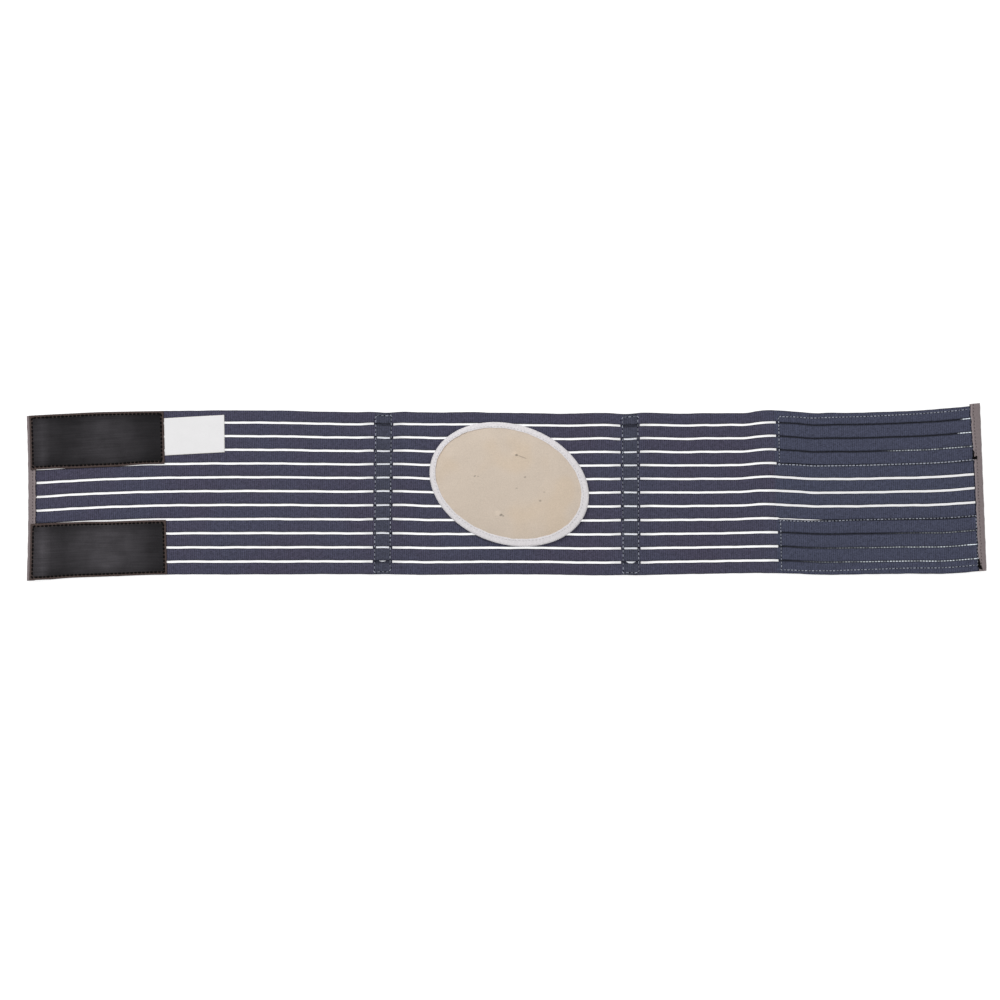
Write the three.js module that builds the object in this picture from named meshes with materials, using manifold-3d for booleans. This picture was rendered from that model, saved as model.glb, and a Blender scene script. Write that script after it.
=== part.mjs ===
import * as THREE from 'three';
import { mergeVertices } from 'three/addons/utils/BufferGeometryUtils.js';
import Module from 'manifold-3d';

// A hernia belt of ventilated elastic, opened out and lying flat with its body side up.
// Millimetres. +X runs along the belt to its loop-tape end, +Y across it, +Z up from the
// surface it lies on. The origin is on that surface, under the middle of the belt.

// Belt and elastic: flat bands, with open gaps between them
const beltLength = 927;
const bandCount = 12;
const bandWidth = 10.8;
const gapWidth = 2.5;
const elasticThick = 1.5;

// Space that keeps one sewn piece clear of the next
const clearance = 0.3;

// End bindings: a tape folded over each raw end of the elastic
const bindingWidth = 7.4;
const bindingThick = 1;
const leftLowerOverhang = 0.5;
const rightUpperOverhang = 2;
const endStrip = 5;

// Hook tape on the body side, at the left end
const hookInset = 2.9;
const hookLength = 131.5;
const hookThick = 1.6;
const upperHookWidth = 52.5;
const lowerHookWidth = 53;

// Loop tape on the underside, at the right end
const loopLength = 198.3;
const loopThick = 1.6;
const loopWidth = 53;
const loopEdgeInset = 0.7;
const gapOverLoop = 1;

// Two stays, one each side of the pad, each in a casing sewn across the underside
const leftCasingFromMiddle = 118.1;
const rightCasingFromMiddle = 121.7;
const casingWidth = 19;
const casingThick = 1;
const casingEdgeInset = 0.8;
const seamSpacing = 15;
const seamBridge = 1.2;
const gapOverCasing = 1.7;
const stayWidth = 12.7;
const stayLength = 130.5;
const stayThick = 1;
const stayLow = 1;

// Sewn label beside the upper hook patch
const labelLength = 57.7;
const labelHeight = 36.5;
const labelThick = 1;
const labelEdgeInset = 5.9;
const labelSlope = 0.046;

// Oval pad: a covered foam body, bound round its edge with tape
const padLength = 158;
const padWidth = 115.8;
const padTurn = -18.2;
const padFromMiddle = 4.2;
const padAcross = 8.2;
const crownHeight = 11.2;
const rimHeight = 4.5;
const rimWidth = 6.3;
const rimThick = 1;
const rimRise = 1;
const padSides = 48;

// How far the sheets slope down beside what lifts them, and how often they bend
const rampLength = 14;
const bendSpacing = 38;

// How the belt happens to lie: along is the share of its length from the left end, the
// others are shares of its width. sway moves the whole width up the page, swell widens
// it, lean carries the upper edge to the right, and bow draws the middle in to the right.
const lay = [
  { along: 0.000, sway: -0.031, swell: 0.006, lean: 0.000, bow: 0.010 },
  { along: 0.070, sway: -0.010, swell: 0.012, lean: -0.012, bow: 0.003 },
  { along: 0.140, sway: 0.000, swell: 0.006, lean: -0.022, bow: 0.000 },
  { along: 0.220, sway: 0.003, swell: 0.012, lean: -0.010, bow: 0.000 },
  { along: 0.370, sway: -0.001, swell: 0.003, lean: 0.009, bow: 0.000 },
  { along: 0.430, sway: -0.006, swell: -0.006, lean: 0.004, bow: 0.000 },
  { along: 0.520, sway: -0.006, swell: -0.006, lean: 0.000, bow: 0.000 },
  { along: 0.630, sway: -0.009, swell: 0.000, lean: -0.006, bow: 0.000 },
  { along: 0.700, sway: -0.004, swell: -0.012, lean: -0.012, bow: 0.000 },
  { along: 0.748, sway: -0.004, swell: -0.018, lean: -0.018, bow: 0.000 },
  { along: 0.783, sway: 0.010, swell: 0.012, lean: -0.020, bow: 0.000 },
  { along: 0.830, sway: -0.005, swell: -0.004, lean: -0.020, bow: 0.000 },
  { along: 0.914, sway: 0.000, swell: -0.006, lean: -0.028, bow: 0.000 },
  { along: 0.958, sway: 0.006, swell: 0.013, lean: -0.034, bow: 0.000 },
  { along: 1.000, sway: 0.027, swell: 0.018, lean: -0.040, bow: 0.000 },
];

// The gaps near the middle lie a little above even spacing: a share of the belt's width
const middleLift = 0.007;

// The pad's two faces from its middle to its bound edge: out is the share of its radius,
// top and under are shares of the crown height
const padFaces = [
  { out: 0.00, top: 1.00, under: 0.00 },
  { out: 0.35, top: 0.975, under: 0.00 },
  { out: 0.60, top: 0.91, under: 0.00 },
  { out: 0.76, top: 0.79, under: 0.00 },
  { out: 0.86, top: 0.60, under: 0.03 },
];
const padEdgeStart = 0.91;

const beltWidth = bandCount * bandWidth + (bandCount - 1) * gapWidth;
const halfWidth = beltWidth / 2;

// What lifts the elastic off the surface. Each goes from one place along the belt to
// another, and height is where the elastic's underside lies there.
const foldDepth = bindingThick + clearance;
const casingLift = casingThick + clearance + stayThick + clearance;
const loopLift = loopThick + clearance;
const loopStart = beltLength - foldDepth - loopLength;
const beltMiddle = beltLength / 2;
const casingCentres = [beltMiddle - leftCasingFromMiddle, beltMiddle + rightCasingFromMiddle];
const casingLifts = casingCentres.map((centre) => (
  { from: centre - casingWidth / 2, to: centre + casingWidth / 2, height: casingLift }
));
const leftBindingLift = { from: 0, to: bindingWidth, height: foldDepth };
const rightBindingLift = {
  from: beltLength - bindingWidth,
  to: beltLength,
  height: foldDepth + loopLift,
};
const lifts = [
  leftBindingLift,
  ...casingLifts,
  { from: loopStart, to: beltLength, height: loopLift },
  rightBindingLift,
];

// 1 over what lifts a sheet, easing to 0 at the foot of the ramp beside it
function nearness(along, lift) {
  const beyond = Math.max(lift.from - along, along - lift.to, 0) - clearance;
  return 1 - THREE.MathUtils.smoothstep(beyond, 0, rampLength);
}

function elasticUnder(along) {
  return Math.max(...lifts.map((lift) => lift.height * nearness(along, lift)));
}

function elasticTop(along) {
  return elasticUnder(along) + elasticThick;
}

// The hook tape lies on the elastic and climbs over the left binding
function hookUnder(along) {
  return elasticTop(along) + clearance + foldDepth * nearness(along, leftBindingLift);
}

function loopUnder(along) {
  return elasticUnder(along) - loopLift;
}

// Where the sheets bend, start or end, with even steps filled in between
const rampPlaces = lifts.flatMap(({ from, to }) => [
  from - clearance - rampLength, from - clearance - rampLength / 2, from - clearance,
  to + clearance, to + clearance + rampLength / 2, to + clearance + rampLength,
]);
const seamPlaces = casingCentres.flatMap((centre) => (
  [-1, 1].flatMap((side) => {
    const seam = centre + side * seamSpacing / 2;
    return [seam - seamBridge / 2, seam + seamBridge / 2];
  })
));
const elasticStart = foldDepth;
const elasticEnd = beltLength - foldDepth;
const hookEnd = hookInset + hookLength;
const labelStart = hookEnd + clearance;
const labelEnd = labelStart + labelLength;
const slotStart = elasticStart + endStrip;
const slotEnd = elasticEnd - endStrip;
const gapCloses = loopStart + clearance;
const gapClosed = gapCloses + seamBridge;
const places = fillIn([
  elasticStart, slotStart, slotEnd, elasticEnd, hookInset, hookEnd, labelStart, labelEnd,
  loopStart, gapCloses, gapClosed, ...rampPlaces, ...seamPlaces,
]);

function fillIn(marks) {
  const kept = marks.filter((mark) => mark >= elasticStart && mark <= elasticEnd);
  const sorted = [...new Set(kept)].sort((a, b) => a - b);
  const filled = [sorted[0]];
  for (const mark of sorted.slice(1)) {
    const last = filled[filled.length - 1];
    const steps = Math.ceil((mark - last) / bendSpacing);
    for (let step = 1; step < steps; step += 1) {
      filled.push(last + (mark - last) * step / steps);
    }
    filled.push(mark);
  }
  return filled;
}

function placesBetween(from, to) {
  return places.filter((place) => place >= from && place <= to);
}

// From a place on the flat pattern to where it lies: along from the left fold, across
// from the middle line
const layCurve = new THREE.CubicInterpolant(
  lay.map((row) => row.along),
  lay.flatMap((row) => [row.sway, row.swell, row.lean, row.bow]),
  4,
);

function laid(along, across) {
  const share = THREE.MathUtils.clamp(along / beltLength, 0, 1);
  const [sway, swell, lean, bow] = layCurve.evaluate(share);
  const inward = 1 - (across / halfWidth) ** 2;
  const x = along - beltMiddle + lean * across + bow * beltWidth * inward;
  const lifted = sway + middleLift * inward;
  return [x, across * (1 + swell) + lifted * beltWidth];
}

// Lays a flat piece down: its x and y are along and across on the pattern
function layDown(geometry) {
  const position = geometry.getAttribute('position');
  for (let i = 0; i < position.count; i += 1) {
    const [x, y] = laid(position.getX(i), position.getY(i));
    position.setXY(i, x, y);
  }
  geometry.computeVertexNormals();
  return geometry;
}

// A closed sheet on a grid of places along the belt and lines across it. lineAt gives
// each line's distance from the middle line, underAt the height of the underside, and
// isCloth says whether the cell after a place and a line is cloth or an open gap.
function sheet({ along, lines, lineAt, underAt, thick, isCloth = () => true }) {
  const points = [];
  for (const place of along) {
    for (let line = 0; line < lines; line += 1) {
      const across = lineAt(line, place);
      const under = underAt(place);
      points.push(place, across, under, place, across, under + thick);
    }
  }
  const corner = (i, line, side) => (i * lines + line) * 2 + side;
  const filled = (i, line) => (
    i >= 0 && line >= 0 && i < along.length - 1 && line < lines - 1 && isCloth(i, line)
  );
  const index = [];
  const quad = (a, b, c, d) => index.push(a, b, c, a, c, d);
  // A wall stands on the edge from one grid corner to the next, cloth on its left
  const wall = (i0, line0, i1, line1) => quad(
    corner(i0, line0, 0),
    corner(i1, line1, 0),
    corner(i1, line1, 1),
    corner(i0, line0, 1),
  );
  for (let i = 0; i < along.length - 1; i += 1) {
    for (let line = 0; line < lines - 1; line += 1) {
      if (!filled(i, line)) continue;
      quad(
        corner(i, line, 1),
        corner(i + 1, line, 1),
        corner(i + 1, line + 1, 1),
        corner(i, line + 1, 1),
      );
      quad(
        corner(i, line, 0),
        corner(i, line + 1, 0),
        corner(i + 1, line + 1, 0),
        corner(i + 1, line, 0),
      );
      if (!filled(i, line - 1)) wall(i, line, i + 1, line);
      if (!filled(i, line + 1)) wall(i + 1, line + 1, i, line + 1);
      if (!filled(i - 1, line)) wall(i, line + 1, i, line);
      if (!filled(i + 1, line)) wall(i + 1, line, i + 1, line + 1);
    }
  }
  const geometry = new THREE.BufferGeometry();
  geometry.setAttribute('position', new THREE.Float32BufferAttribute(points, 3));
  geometry.setIndex(index);
  return layDown(geometry);
}

// Elastic panel: one cloth whose bands are joined at both ends and at the casing seams
function gapCentre(gap) {
  return -halfWidth + gap * bandWidth + (gap - 0.5) * gapWidth;
}

// How many gaps, counted from the belt's edge, have their middle over the loop tape
const loopReach = loopEdgeInset + loopWidth;
const loopGaps = Math.floor((loopReach + gapWidth / 2) / (bandWidth + gapWidth));

function gapOpening(gap, place) {
  const overLoop = gap <= loopGaps || gap >= bandCount - loopGaps;
  if (overLoop && place >= gapClosed) return gapOverLoop;
  const inCasing = casingCentres.some((centre) => Math.abs(place - centre) < seamSpacing / 2);
  return inCasing ? gapOverCasing : gapWidth;
}

function bandLine(line, place) {
  if (line === 0) return -halfWidth;
  if (line === 2 * bandCount - 1) return halfWidth;
  const gap = Math.ceil(line / 2);
  const side = line % 2 === 1 ? -1 : 1;
  return gapCentre(gap) + side * gapOpening(gap, place) / 2;
}

function isElastic(i, line) {
  if (line % 2 === 0) return true;
  const middle = (places[i] + places[i + 1]) / 2;
  if (middle < slotStart || middle > slotEnd) return true;
  return casingCentres.some((centre) => (
    Math.abs(Math.abs(middle - centre) - seamSpacing / 2) < seamBridge / 2
  ));
}

function elasticPanel() {
  return sheet({
    along: places,
    lines: 2 * bandCount,
    lineAt: bandLine,
    underAt: elasticUnder,
    thick: elasticThick,
    isCloth: isElastic,
  });
}

// A plain strip along the belt, between two distances from the middle line
function strip({ from, to, low, high, underAt, thick }) {
  return sheet({
    along: placesBetween(from, to),
    lines: 2,
    lineAt: (line) => (line === 0 ? low : high),
    underAt,
    thick,
  });
}

function hookPatch(side, width) {
  const edges = [side * halfWidth, side * (halfWidth - width)];
  return strip({
    from: hookInset,
    to: hookEnd,
    low: Math.min(...edges),
    high: Math.max(...edges),
    underAt: hookUnder,
    thick: hookThick,
  });
}

function loopPatch(side) {
  const outer = halfWidth - loopEdgeInset;
  const edges = [side * outer, side * (outer - loopWidth)];
  return strip({
    from: loopStart,
    to: elasticEnd,
    low: Math.min(...edges),
    high: Math.max(...edges),
    underAt: loopUnder,
    thick: loopThick,
  });
}

// The label is tilted a little against the bands
function label() {
  const middle = (labelStart + labelEnd) / 2;
  const top = halfWidth - labelEdgeInset;
  return sheet({
    along: placesBetween(labelStart, labelEnd),
    lines: 2,
    lineAt: (line, place) => {
      const edge = line === 0 ? top - labelHeight : top;
      return edge + labelSlope * (place - middle);
    },
    underAt: (place) => elasticTop(place) + clearance,
    thick: labelThick,
  });
}

// A profile of [along, height] corners run across the belt from one edge to the other
function acrossBelt(corners, low, high, steps) {
  const profile = new THREE.Shape(corners.map(([along, up]) => new THREE.Vector2(along, up)));
  const geometry = new THREE.ExtrudeGeometry(profile, {
    depth: high - low,
    steps,
    bevelEnabled: false,
  });
  geometry.rotateX(Math.PI / 2);
  geometry.translate(0, high, 0);
  return layDown(geometry);
}

// Binding folded over an end: fold is where its fold lies, inward is +1 or -1, into the
// belt, and over and below are how far it runs past the elastic's two edges
function binding(fold, inward, lift, over, below) {
  const inner = fold + inward * bindingWidth;
  const fibre = fold + inward * bindingThick;
  const topLeg = lift.height + elasticThick + clearance;
  const corners = [
    [fold, 0],
    [inner, 0],
    [inner, bindingThick],
    [fibre, bindingThick],
    [fibre, topLeg],
    [inner, topLeg],
    [inner, topLeg + bindingThick],
    [fold, topLeg + bindingThick],
  ];
  return acrossBelt(corners, -halfWidth - below, halfWidth + over, 10);
}

// Flat bar across the belt with round ends, its middle at along and across
function roundBar(along, across, length, width, low, thick) {
  const straight = length / 2 - width / 2;
  const outline = new THREE.Shape();
  outline.absarc(along, across + straight, width / 2, 0, Math.PI);
  outline.absarc(along, across - straight, width / 2, Math.PI, 2 * Math.PI);
  const geometry = new THREE.ExtrudeGeometry(outline, {
    depth: thick,
    bevelEnabled: false,
    curveSegments: 8,
  });
  geometry.translate(0, 0, low);
  return geometry;
}

function stay(centre) {
  const low = casingThick + clearance;
  return layDown(roundBar(centre, -stayLow, stayLength, stayWidth, low, stayThick));
}

// Casing: a tape with a pocket pressed into it for the stay
const wasm = await Module();
wasm.setup();

function toSolid(geometry) {
  const bare = new THREE.BufferGeometry();
  bare.setAttribute('position', geometry.getAttribute('position').clone());
  if (geometry.index) bare.setIndex(geometry.index.clone());
  const merged = mergeVertices(bare, 1e-4);
  return new wasm.Manifold(new wasm.Mesh({
    numProp: 3,
    vertProperties: new Float32Array(merged.getAttribute('position').array),
    triVerts: new Uint32Array(merged.index.array),
  }));
}

function fromSolid(solid) {
  const mesh = solid.getMesh();
  const geometry = new THREE.BufferGeometry();
  geometry.setAttribute('position', new THREE.BufferAttribute(mesh.vertProperties, 3));
  geometry.setIndex(new THREE.BufferAttribute(mesh.triVerts, 1));
  return geometry;
}

function stayCasing(centre) {
  const height = casingThick + clearance + stayThick;
  const length = beltWidth - 2 * casingEdgeInset;
  const tape = new THREE.BoxGeometry(casingWidth, length, height);
  tape.translate(centre, 0, height / 2);
  const pocket = roundBar(
    centre,
    -stayLow,
    stayLength + 2 * clearance,
    stayWidth + 2 * clearance,
    casingThick,
    height,
  );
  return layDown(fromSolid(toSolid(tape).subtract(toSolid(pocket))));
}

// Pad body: turned round the pad's middle, then narrowed across to an oval
function padBody() {
  const inset = rimThick + clearance;
  const reach = padLength / 2 - inset;
  const edgeUnder = rimThick + clearance;
  const edgeTop = rimHeight - rimThick - clearance;
  const under = padFaces.map(({ out, under: low }) => (
    new THREE.Vector2(out * reach, low * crownHeight)
  ));
  const top = padFaces.map(({ out, top: high }) => (
    new THREE.Vector2(out * reach, high * crownHeight)
  ));
  const profile = [
    ...under,
    new THREE.Vector2(padEdgeStart * reach, edgeUnder),
    new THREE.Vector2(reach, edgeUnder),
    new THREE.Vector2(reach, edgeTop),
    new THREE.Vector2(padEdgeStart * reach, edgeTop + rimRise),
    ...top.reverse(),
  ];
  const geometry = new THREE.LatheGeometry(profile, padSides);
  geometry.rotateX(Math.PI / 2);
  geometry.scale(1, (padWidth / 2 - inset) / reach, 1);
  return geometry;
}

// Pad binding: a folded tape that keeps its width all the way round the oval
function padRim() {
  const profile = [
    { inset: rimWidth, up: 0 },
    { inset: rimThick / 2, up: 0 },
    { inset: 0, up: rimThick / 2 },
    { inset: 0, up: rimHeight - rimThick / 2 },
    { inset: rimThick / 2, up: rimHeight },
    { inset: rimWidth, up: rimHeight + rimRise },
    { inset: rimWidth, up: rimHeight + rimRise - rimThick },
    { inset: rimThick, up: rimHeight - rimThick },
    { inset: rimThick, up: rimThick },
    { inset: rimWidth, up: rimThick },
  ];
  const points = [];
  for (let side = 0; side < padSides; side += 1) {
    const angle = 2 * Math.PI * side / padSides;
    const outward = new THREE.Vector2(
      Math.cos(angle) * padWidth,
      Math.sin(angle) * padLength,
    ).normalize();
    for (const { inset, up } of profile) {
      points.push(
        Math.cos(angle) * padLength / 2 - outward.x * inset,
        Math.sin(angle) * padWidth / 2 - outward.y * inset,
        up,
      );
    }
  }
  const index = [];
  for (let side = 0; side < padSides; side += 1) {
    const here = side * profile.length;
    const there = ((side + 1) % padSides) * profile.length;
    for (let k = 0; k < profile.length; k += 1) {
      const next = (k + 1) % profile.length;
      index.push(here + k, there + k, there + next, here + k, there + next, here + next);
    }
  }
  const geometry = new THREE.BufferGeometry();
  geometry.setAttribute('position', new THREE.Float32BufferAttribute(points, 3));
  geometry.setIndex(index);
  geometry.computeVertexNormals();
  return geometry;
}

// Finishes, in the colours the cloth shows
const elasticCloth = { color: '#484655', roughness: 0.9 };
const bindingTape = { color: '#7a7170', roughness: 0.85 };
const hookTape = { color: '#353336', roughness: 0.55 };
const loopTape = { color: '#3f4150', roughness: 0.95 };
const stayPlastic = { color: '#e2e7ee', roughness: 0.4 };
const labelSatin = { color: '#e7e6e7', roughness: 0.7 };
const padCloth = { color: '#cdbfaf', roughness: 0.9 };
const rimTape = { color: '#d5d1d0', roughness: 0.85 };

function piece(name, geometry, finish) {
  const material = new THREE.MeshStandardMaterial({ ...finish, metalness: 0 });
  const mesh = new THREE.Mesh(geometry, material);
  mesh.name = name;
  return mesh;
}

const pad = new THREE.Group();
pad.add(
  piece('pad_body', padBody(), padCloth),
  piece('pad_rim_binding', padRim(), rimTape),
);
pad.position.set(padFromMiddle, padAcross, elasticThick + clearance);
pad.rotation.z = THREE.MathUtils.degToRad(padTurn);

const [leftCentre, rightCentre] = casingCentres;
const belt = new THREE.Group();
belt.add(
  piece('elastic_panel', elasticPanel(), elasticCloth),
  piece(
    'left_end_binding',
    binding(0, 1, leftBindingLift, 0, leftLowerOverhang),
    bindingTape,
  ),
  piece(
    'right_end_binding',
    binding(beltLength, -1, rightBindingLift, rightUpperOverhang, 0),
    bindingTape,
  ),
  piece('upper_hook_patch', hookPatch(1, upperHookWidth), hookTape),
  piece('lower_hook_patch', hookPatch(-1, lowerHookWidth), hookTape),
  piece('upper_loop_patch', loopPatch(1), loopTape),
  piece('lower_loop_patch', loopPatch(-1), loopTape),
  piece('left_stay_casing', stayCasing(leftCentre), elasticCloth),
  piece('right_stay_casing', stayCasing(rightCentre), elasticCloth),
  piece('left_stay', stay(leftCentre), stayPlastic),
  piece('right_stay', stay(rightCentre), stayPlastic),
  piece('sewn_label', label(), labelSatin),
  pad,
);

// The origin goes under the middle of all that lies there
const box = new THREE.Box3().setFromObject(belt, true);
const middle = box.getCenter(new THREE.Vector3());
belt.position.set(-middle.x, -middle.y, -box.min.z);

export default belt;
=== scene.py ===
import math
from collections import namedtuple

import bmesh
import bpy
import numpy as np
from bpy.props import FloatProperty, FloatVectorProperty, IntProperty, PointerProperty
from bpy.types import Node, NodeSocket, Operator, Panel, PropertyGroup
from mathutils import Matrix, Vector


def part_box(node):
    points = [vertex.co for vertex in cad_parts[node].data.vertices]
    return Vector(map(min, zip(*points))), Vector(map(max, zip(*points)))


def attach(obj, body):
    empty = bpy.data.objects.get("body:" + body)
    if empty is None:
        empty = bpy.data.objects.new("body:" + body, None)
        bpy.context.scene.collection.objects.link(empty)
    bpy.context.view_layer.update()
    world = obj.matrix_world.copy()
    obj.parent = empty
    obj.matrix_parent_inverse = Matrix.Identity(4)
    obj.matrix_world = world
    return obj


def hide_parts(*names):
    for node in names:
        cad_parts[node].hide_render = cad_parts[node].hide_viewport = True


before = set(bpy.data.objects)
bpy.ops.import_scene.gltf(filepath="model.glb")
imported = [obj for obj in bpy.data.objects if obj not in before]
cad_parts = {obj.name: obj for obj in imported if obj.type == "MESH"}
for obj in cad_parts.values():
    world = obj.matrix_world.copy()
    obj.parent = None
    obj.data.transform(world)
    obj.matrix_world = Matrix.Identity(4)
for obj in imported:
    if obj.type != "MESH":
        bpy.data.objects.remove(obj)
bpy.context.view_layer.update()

bl_info = {
    "name": "Hernia belt",
    "version": (1, 0, 0),
    "blender": (4, 5, 0),
    "location": "3D View > Sidebar > Hernia belt",
    "description": "Dresses the packed hernia belt in elastic, tape, thread and foam",
    "category": "Object",
}

# How the belt happens to lie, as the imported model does: along is the share of its length
# from the left end, the others are shares of its width. Sway moves the whole width up the
# page, swell widens it, lean carries the upper edge right, bow draws the middle right.
LayRow = namedtuple("LayRow", "along sway swell lean bow")
LAY = [LayRow(*row) for row in (
    (0.000, -0.031, 0.006, 0.000, 0.010), (0.070, -0.010, 0.012, -0.012, 0.003),
    (0.140, 0.000, 0.006, -0.022, 0.000), (0.220, 0.003, 0.012, -0.010, 0.000),
    (0.370, -0.001, 0.003, 0.009, 0.000), (0.430, -0.006, -0.006, 0.004, 0.000),
    (0.520, -0.006, -0.006, 0.000, 0.000), (0.630, -0.009, 0.000, -0.006, 0.000),
    (0.700, -0.004, -0.012, -0.012, 0.000), (0.748, -0.004, -0.018, -0.018, 0.000),
    (0.783, 0.010, 0.012, -0.020, 0.000), (0.830, -0.005, -0.004, -0.020, 0.000),
    (0.914, 0.000, -0.006, -0.028, 0.000), (0.958, 0.006, 0.013, -0.034, 0.000),
    (1.000, 0.027, 0.018, -0.040, 0.000),
)]
# How far the middle line lies up the page from both edges, as a share of the width
MIDDLE_LIFT = 0.007

# Where the belt strays from that smooth lie, in millimetres up the page, at its upper edge,
# its middle and its lower edge; u is in millimetres from the left fold
StrayRow = namedtuple("StrayRow", "u upper middle lower")
STRAY = [StrayRow(*row) for row in (
    (0, 0.3, -0.7, -1.0), (20, 0.3, -0.7, -1.1), (45, 0.0, -0.45, -0.5),
    (85, 0.0, -0.3, -0.6), (125, 0.2, 0.0, -0.4), (240, -0.1, 0.15, -0.15),
    (290, -0.8, -0.1, 0.0), (318, -0.9, -0.1, 0.0), (335, -0.3, 0.4, -0.2),
    (347, -0.9, 0.8, 0.0), (367, 0.5, 0.9, -0.3), (388, 0.7, 0.3, -0.7),
    (430, 1.3, 0.0, -0.2), (462, 0.5, 0.0, -0.2), (480, 0.2, 0.0, -0.1),
    (521, -0.4, -0.1, -0.15), (560, 0.4, 0.4, -0.15), (580, -0.8, 0.8, 0.2),
    (600, 0.5, 0.6, -0.1), (640, -0.3, -0.1, -0.5), (662, 0.6, 0.0, -0.5),
    (683, 1.2, 0.4, -0.4), (705, 0.3, 0.6, -0.1), (735, -1.4, -0.9, -0.1),
    (757, -0.8, -0.5, -0.3), (785, 0.5, 0.0, -0.5), (840, 0.8, 0.0, -0.5),
    (890, 0.8, 0.1, 0.2), (927, 0.8, -0.1, 0.2),
)]

# The long edges of the sewn patches, in millimetres across from the middle line: the cut
# tape was not sewn on quite straight
EdgeRow = namedtuple("EdgeRow", "u upper_out upper_in lower_in lower_out")
HOOK_EDGES = [EdgeRow(*row) for row in (
    (0, 78.55, 26.05, -25.55, -78.55), (22, 78.55, 26.05, -25.55, -78.55),
    (50, 78.55, 25.15, -26.2, -78.55), (80, 78.55, 25.15, -26.95, -78.55),
    (119, 78.55, 26.55, -26.95, -78.55), (140, 78.55, 26.55, -26.95, -78.55),
)]
LOOP_EDGES = [EdgeRow(*row) for row in (
    (727, 74.8, 24.4, -27.2, -77.6), (750, 75.7, 24.7, -27.1, -77.6),
    (775, 76.3, 24.9, -26.2, -77.2), (800, 76.9, 25.1, -25.4, -76.6),
    (870, 77.8, 25.5, -24.9, -75.4), (927, 78.1, 25.7, -24.9, -74.8),
)]

# Painted glints: the loop tape glows where light would show through its needle holes in the
# closed gaps: where the gap lies, where the glints start and are full, in millimetres, and how
# bright they are. They reach GLINT_REACH metres either way from the middle of the gap.
GlintRow = namedtuple("GlintRow", "v start full strength")
GLINTS = [GlintRow(*row) for row in (
    (66.5, 907, 911, 1.7), (53.2, 903, 908, 1.5), (39.9, 828, 850, 0.6),
    (-39.9, 820, 900, 0.3), (-53.2, 730, 905, 0.75), (-66.5, 735, 850, 0.85),
    (-53.2, 907, 913, 1.0), (-66.5, 914, 918, 0.9),
)]
GLINT_REACH = 0.004


def linear(code):
    """The linear colour behind a paint code such as #4c495a."""
    levels = [int(code[i:i + 2], 16) / 255 for i in (1, 3, 5)]
    return tuple(c / 12.92 if c <= 0.04045 else ((c + 0.055) / 1.055) ** 2.4 for c in levels)


def size(name, default, description):
    """A length in metres that the sidebar shows."""
    return FloatProperty(
        name=name, description=description, default=default, unit="LENGTH", precision=5
    )


def paint(name, code, description):
    """A colour that the sidebar shows."""
    return FloatVectorProperty(
        name=name, description=description, default=linear(code), size=3,
        subtype="COLOR", min=0, max=1,
    )


class BeltCut(PropertyGroup):
    """Sizes that the flat pattern of the belt is cut to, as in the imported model."""

    length: size("Length", 0.927, "Belt from fold to fold of its end bindings")
    bands: IntProperty(name="Bands", description="Bands of elastic", default=12)
    band: size("Band width", 0.0108, "Width of one band of elastic")
    gap: size("Gap", 0.0025, "Open gap between two bands")
    open_gap: size("Open part", 0.0021, "What the loose edge yarns leave open of a gap")
    elastic: size("Elastic thickness", 0.0015, "Thickness of the elastic")
    clearance: size("Clearance", 0.0003, "Space between sewn pieces")
    loop_gap: size("Gap over loop tape", 0.0009, "Gap where loop tape is sewn below")
    casing_gap: size("Gap over casing", 0.0018, "Gap between the seams of a casing")
    tape_width: size("Binding width", 0.0074, "How far an end binding reaches in")
    tape_thick: size("Binding thickness", 0.001, "Thickness of an end binding")
    left_over: size("Left overhang", 0.0005, "Left binding past the lower edge")
    right_over: size("Right overhang", 0.002, "Right binding past the upper edge")
    hook_inset: size("Hook inset", 0.0029, "Hook tape in from the left fold")
    hook_length: size("Hook length", 0.1315, "Length of the hook patches")
    upper_hook: size("Upper hook width", 0.0525, "Width of the upper hook patch")
    lower_hook: size("Lower hook width", 0.053, "Width of the lower hook patch")
    loop_length: size("Loop length", 0.1983, "Length of the loop patches")
    loop_thick: size("Loop thickness", 0.0016, "Thickness of the loop tape")
    loop_width: size("Loop width", 0.053, "Width of the loop patches")
    loop_inset: size("Loop inset", 0.0007, "Loop tape in from the belt's edge")
    left_casing: size("Left casing", 0.1181, "Left casing from the belt's middle")
    right_casing: size("Right casing", 0.1217, "Right casing from the middle")
    casing_width: size("Casing width", 0.019, "Width of a stay's casing")
    casing_thick: size("Casing thickness", 0.001, "Thickness of the casing tape")
    casing_inset: size("Casing inset", 0.0008, "Casing in from the belt's edges")
    seam_spacing: size("Seam spacing", 0.015, "Between the two seams of a casing")
    stay_width: size("Stay width", 0.0127, "Width of a stay")
    stay_length: size("Stay length", 0.1305, "Length of a stay")
    stay_thick: size("Stay thickness", 0.001, "Thickness of a stay")
    stay_low: size("Stay low", 0.001, "How far a stay lies below the middle line")
    label_length: size("Label length", 0.0577, "Label along the belt")
    label_height: size("Label height", 0.0365, "Label across the belt")
    label_inset: size("Label inset", 0.0059, "Label in from the upper edge")
    pad_length: size("Pad length", 0.158, "Pad along its longer way")
    pad_width: size("Pad width", 0.1158, "Pad along its shorter way")
    pad_turn: FloatProperty(
        name="Pad turn", description="How far the pad is turned",
        default=math.radians(-18.2), subtype="ANGLE",
    )
    pad_x: size("Pad along", 0.0042, "Pad's middle along from the belt's middle")
    pad_y: size("Pad across", 0.0082, "Pad's middle above the belt's middle line")
    crown: size("Pad height", 0.0112, "Pad from the elastic to its crown")
    rim_height: size("Rim height", 0.0045, "Height of the pad's bound edge")
    rim_width: size("Rim width", 0.0063, "How far the binding reaches in")
    rim_rise: size("Rim rise", 0.001, "How much the binding climbs towards the crown")
    ramp: size("Ramp", 0.014, "Length of the slope beside what lifts a sheet")


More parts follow.
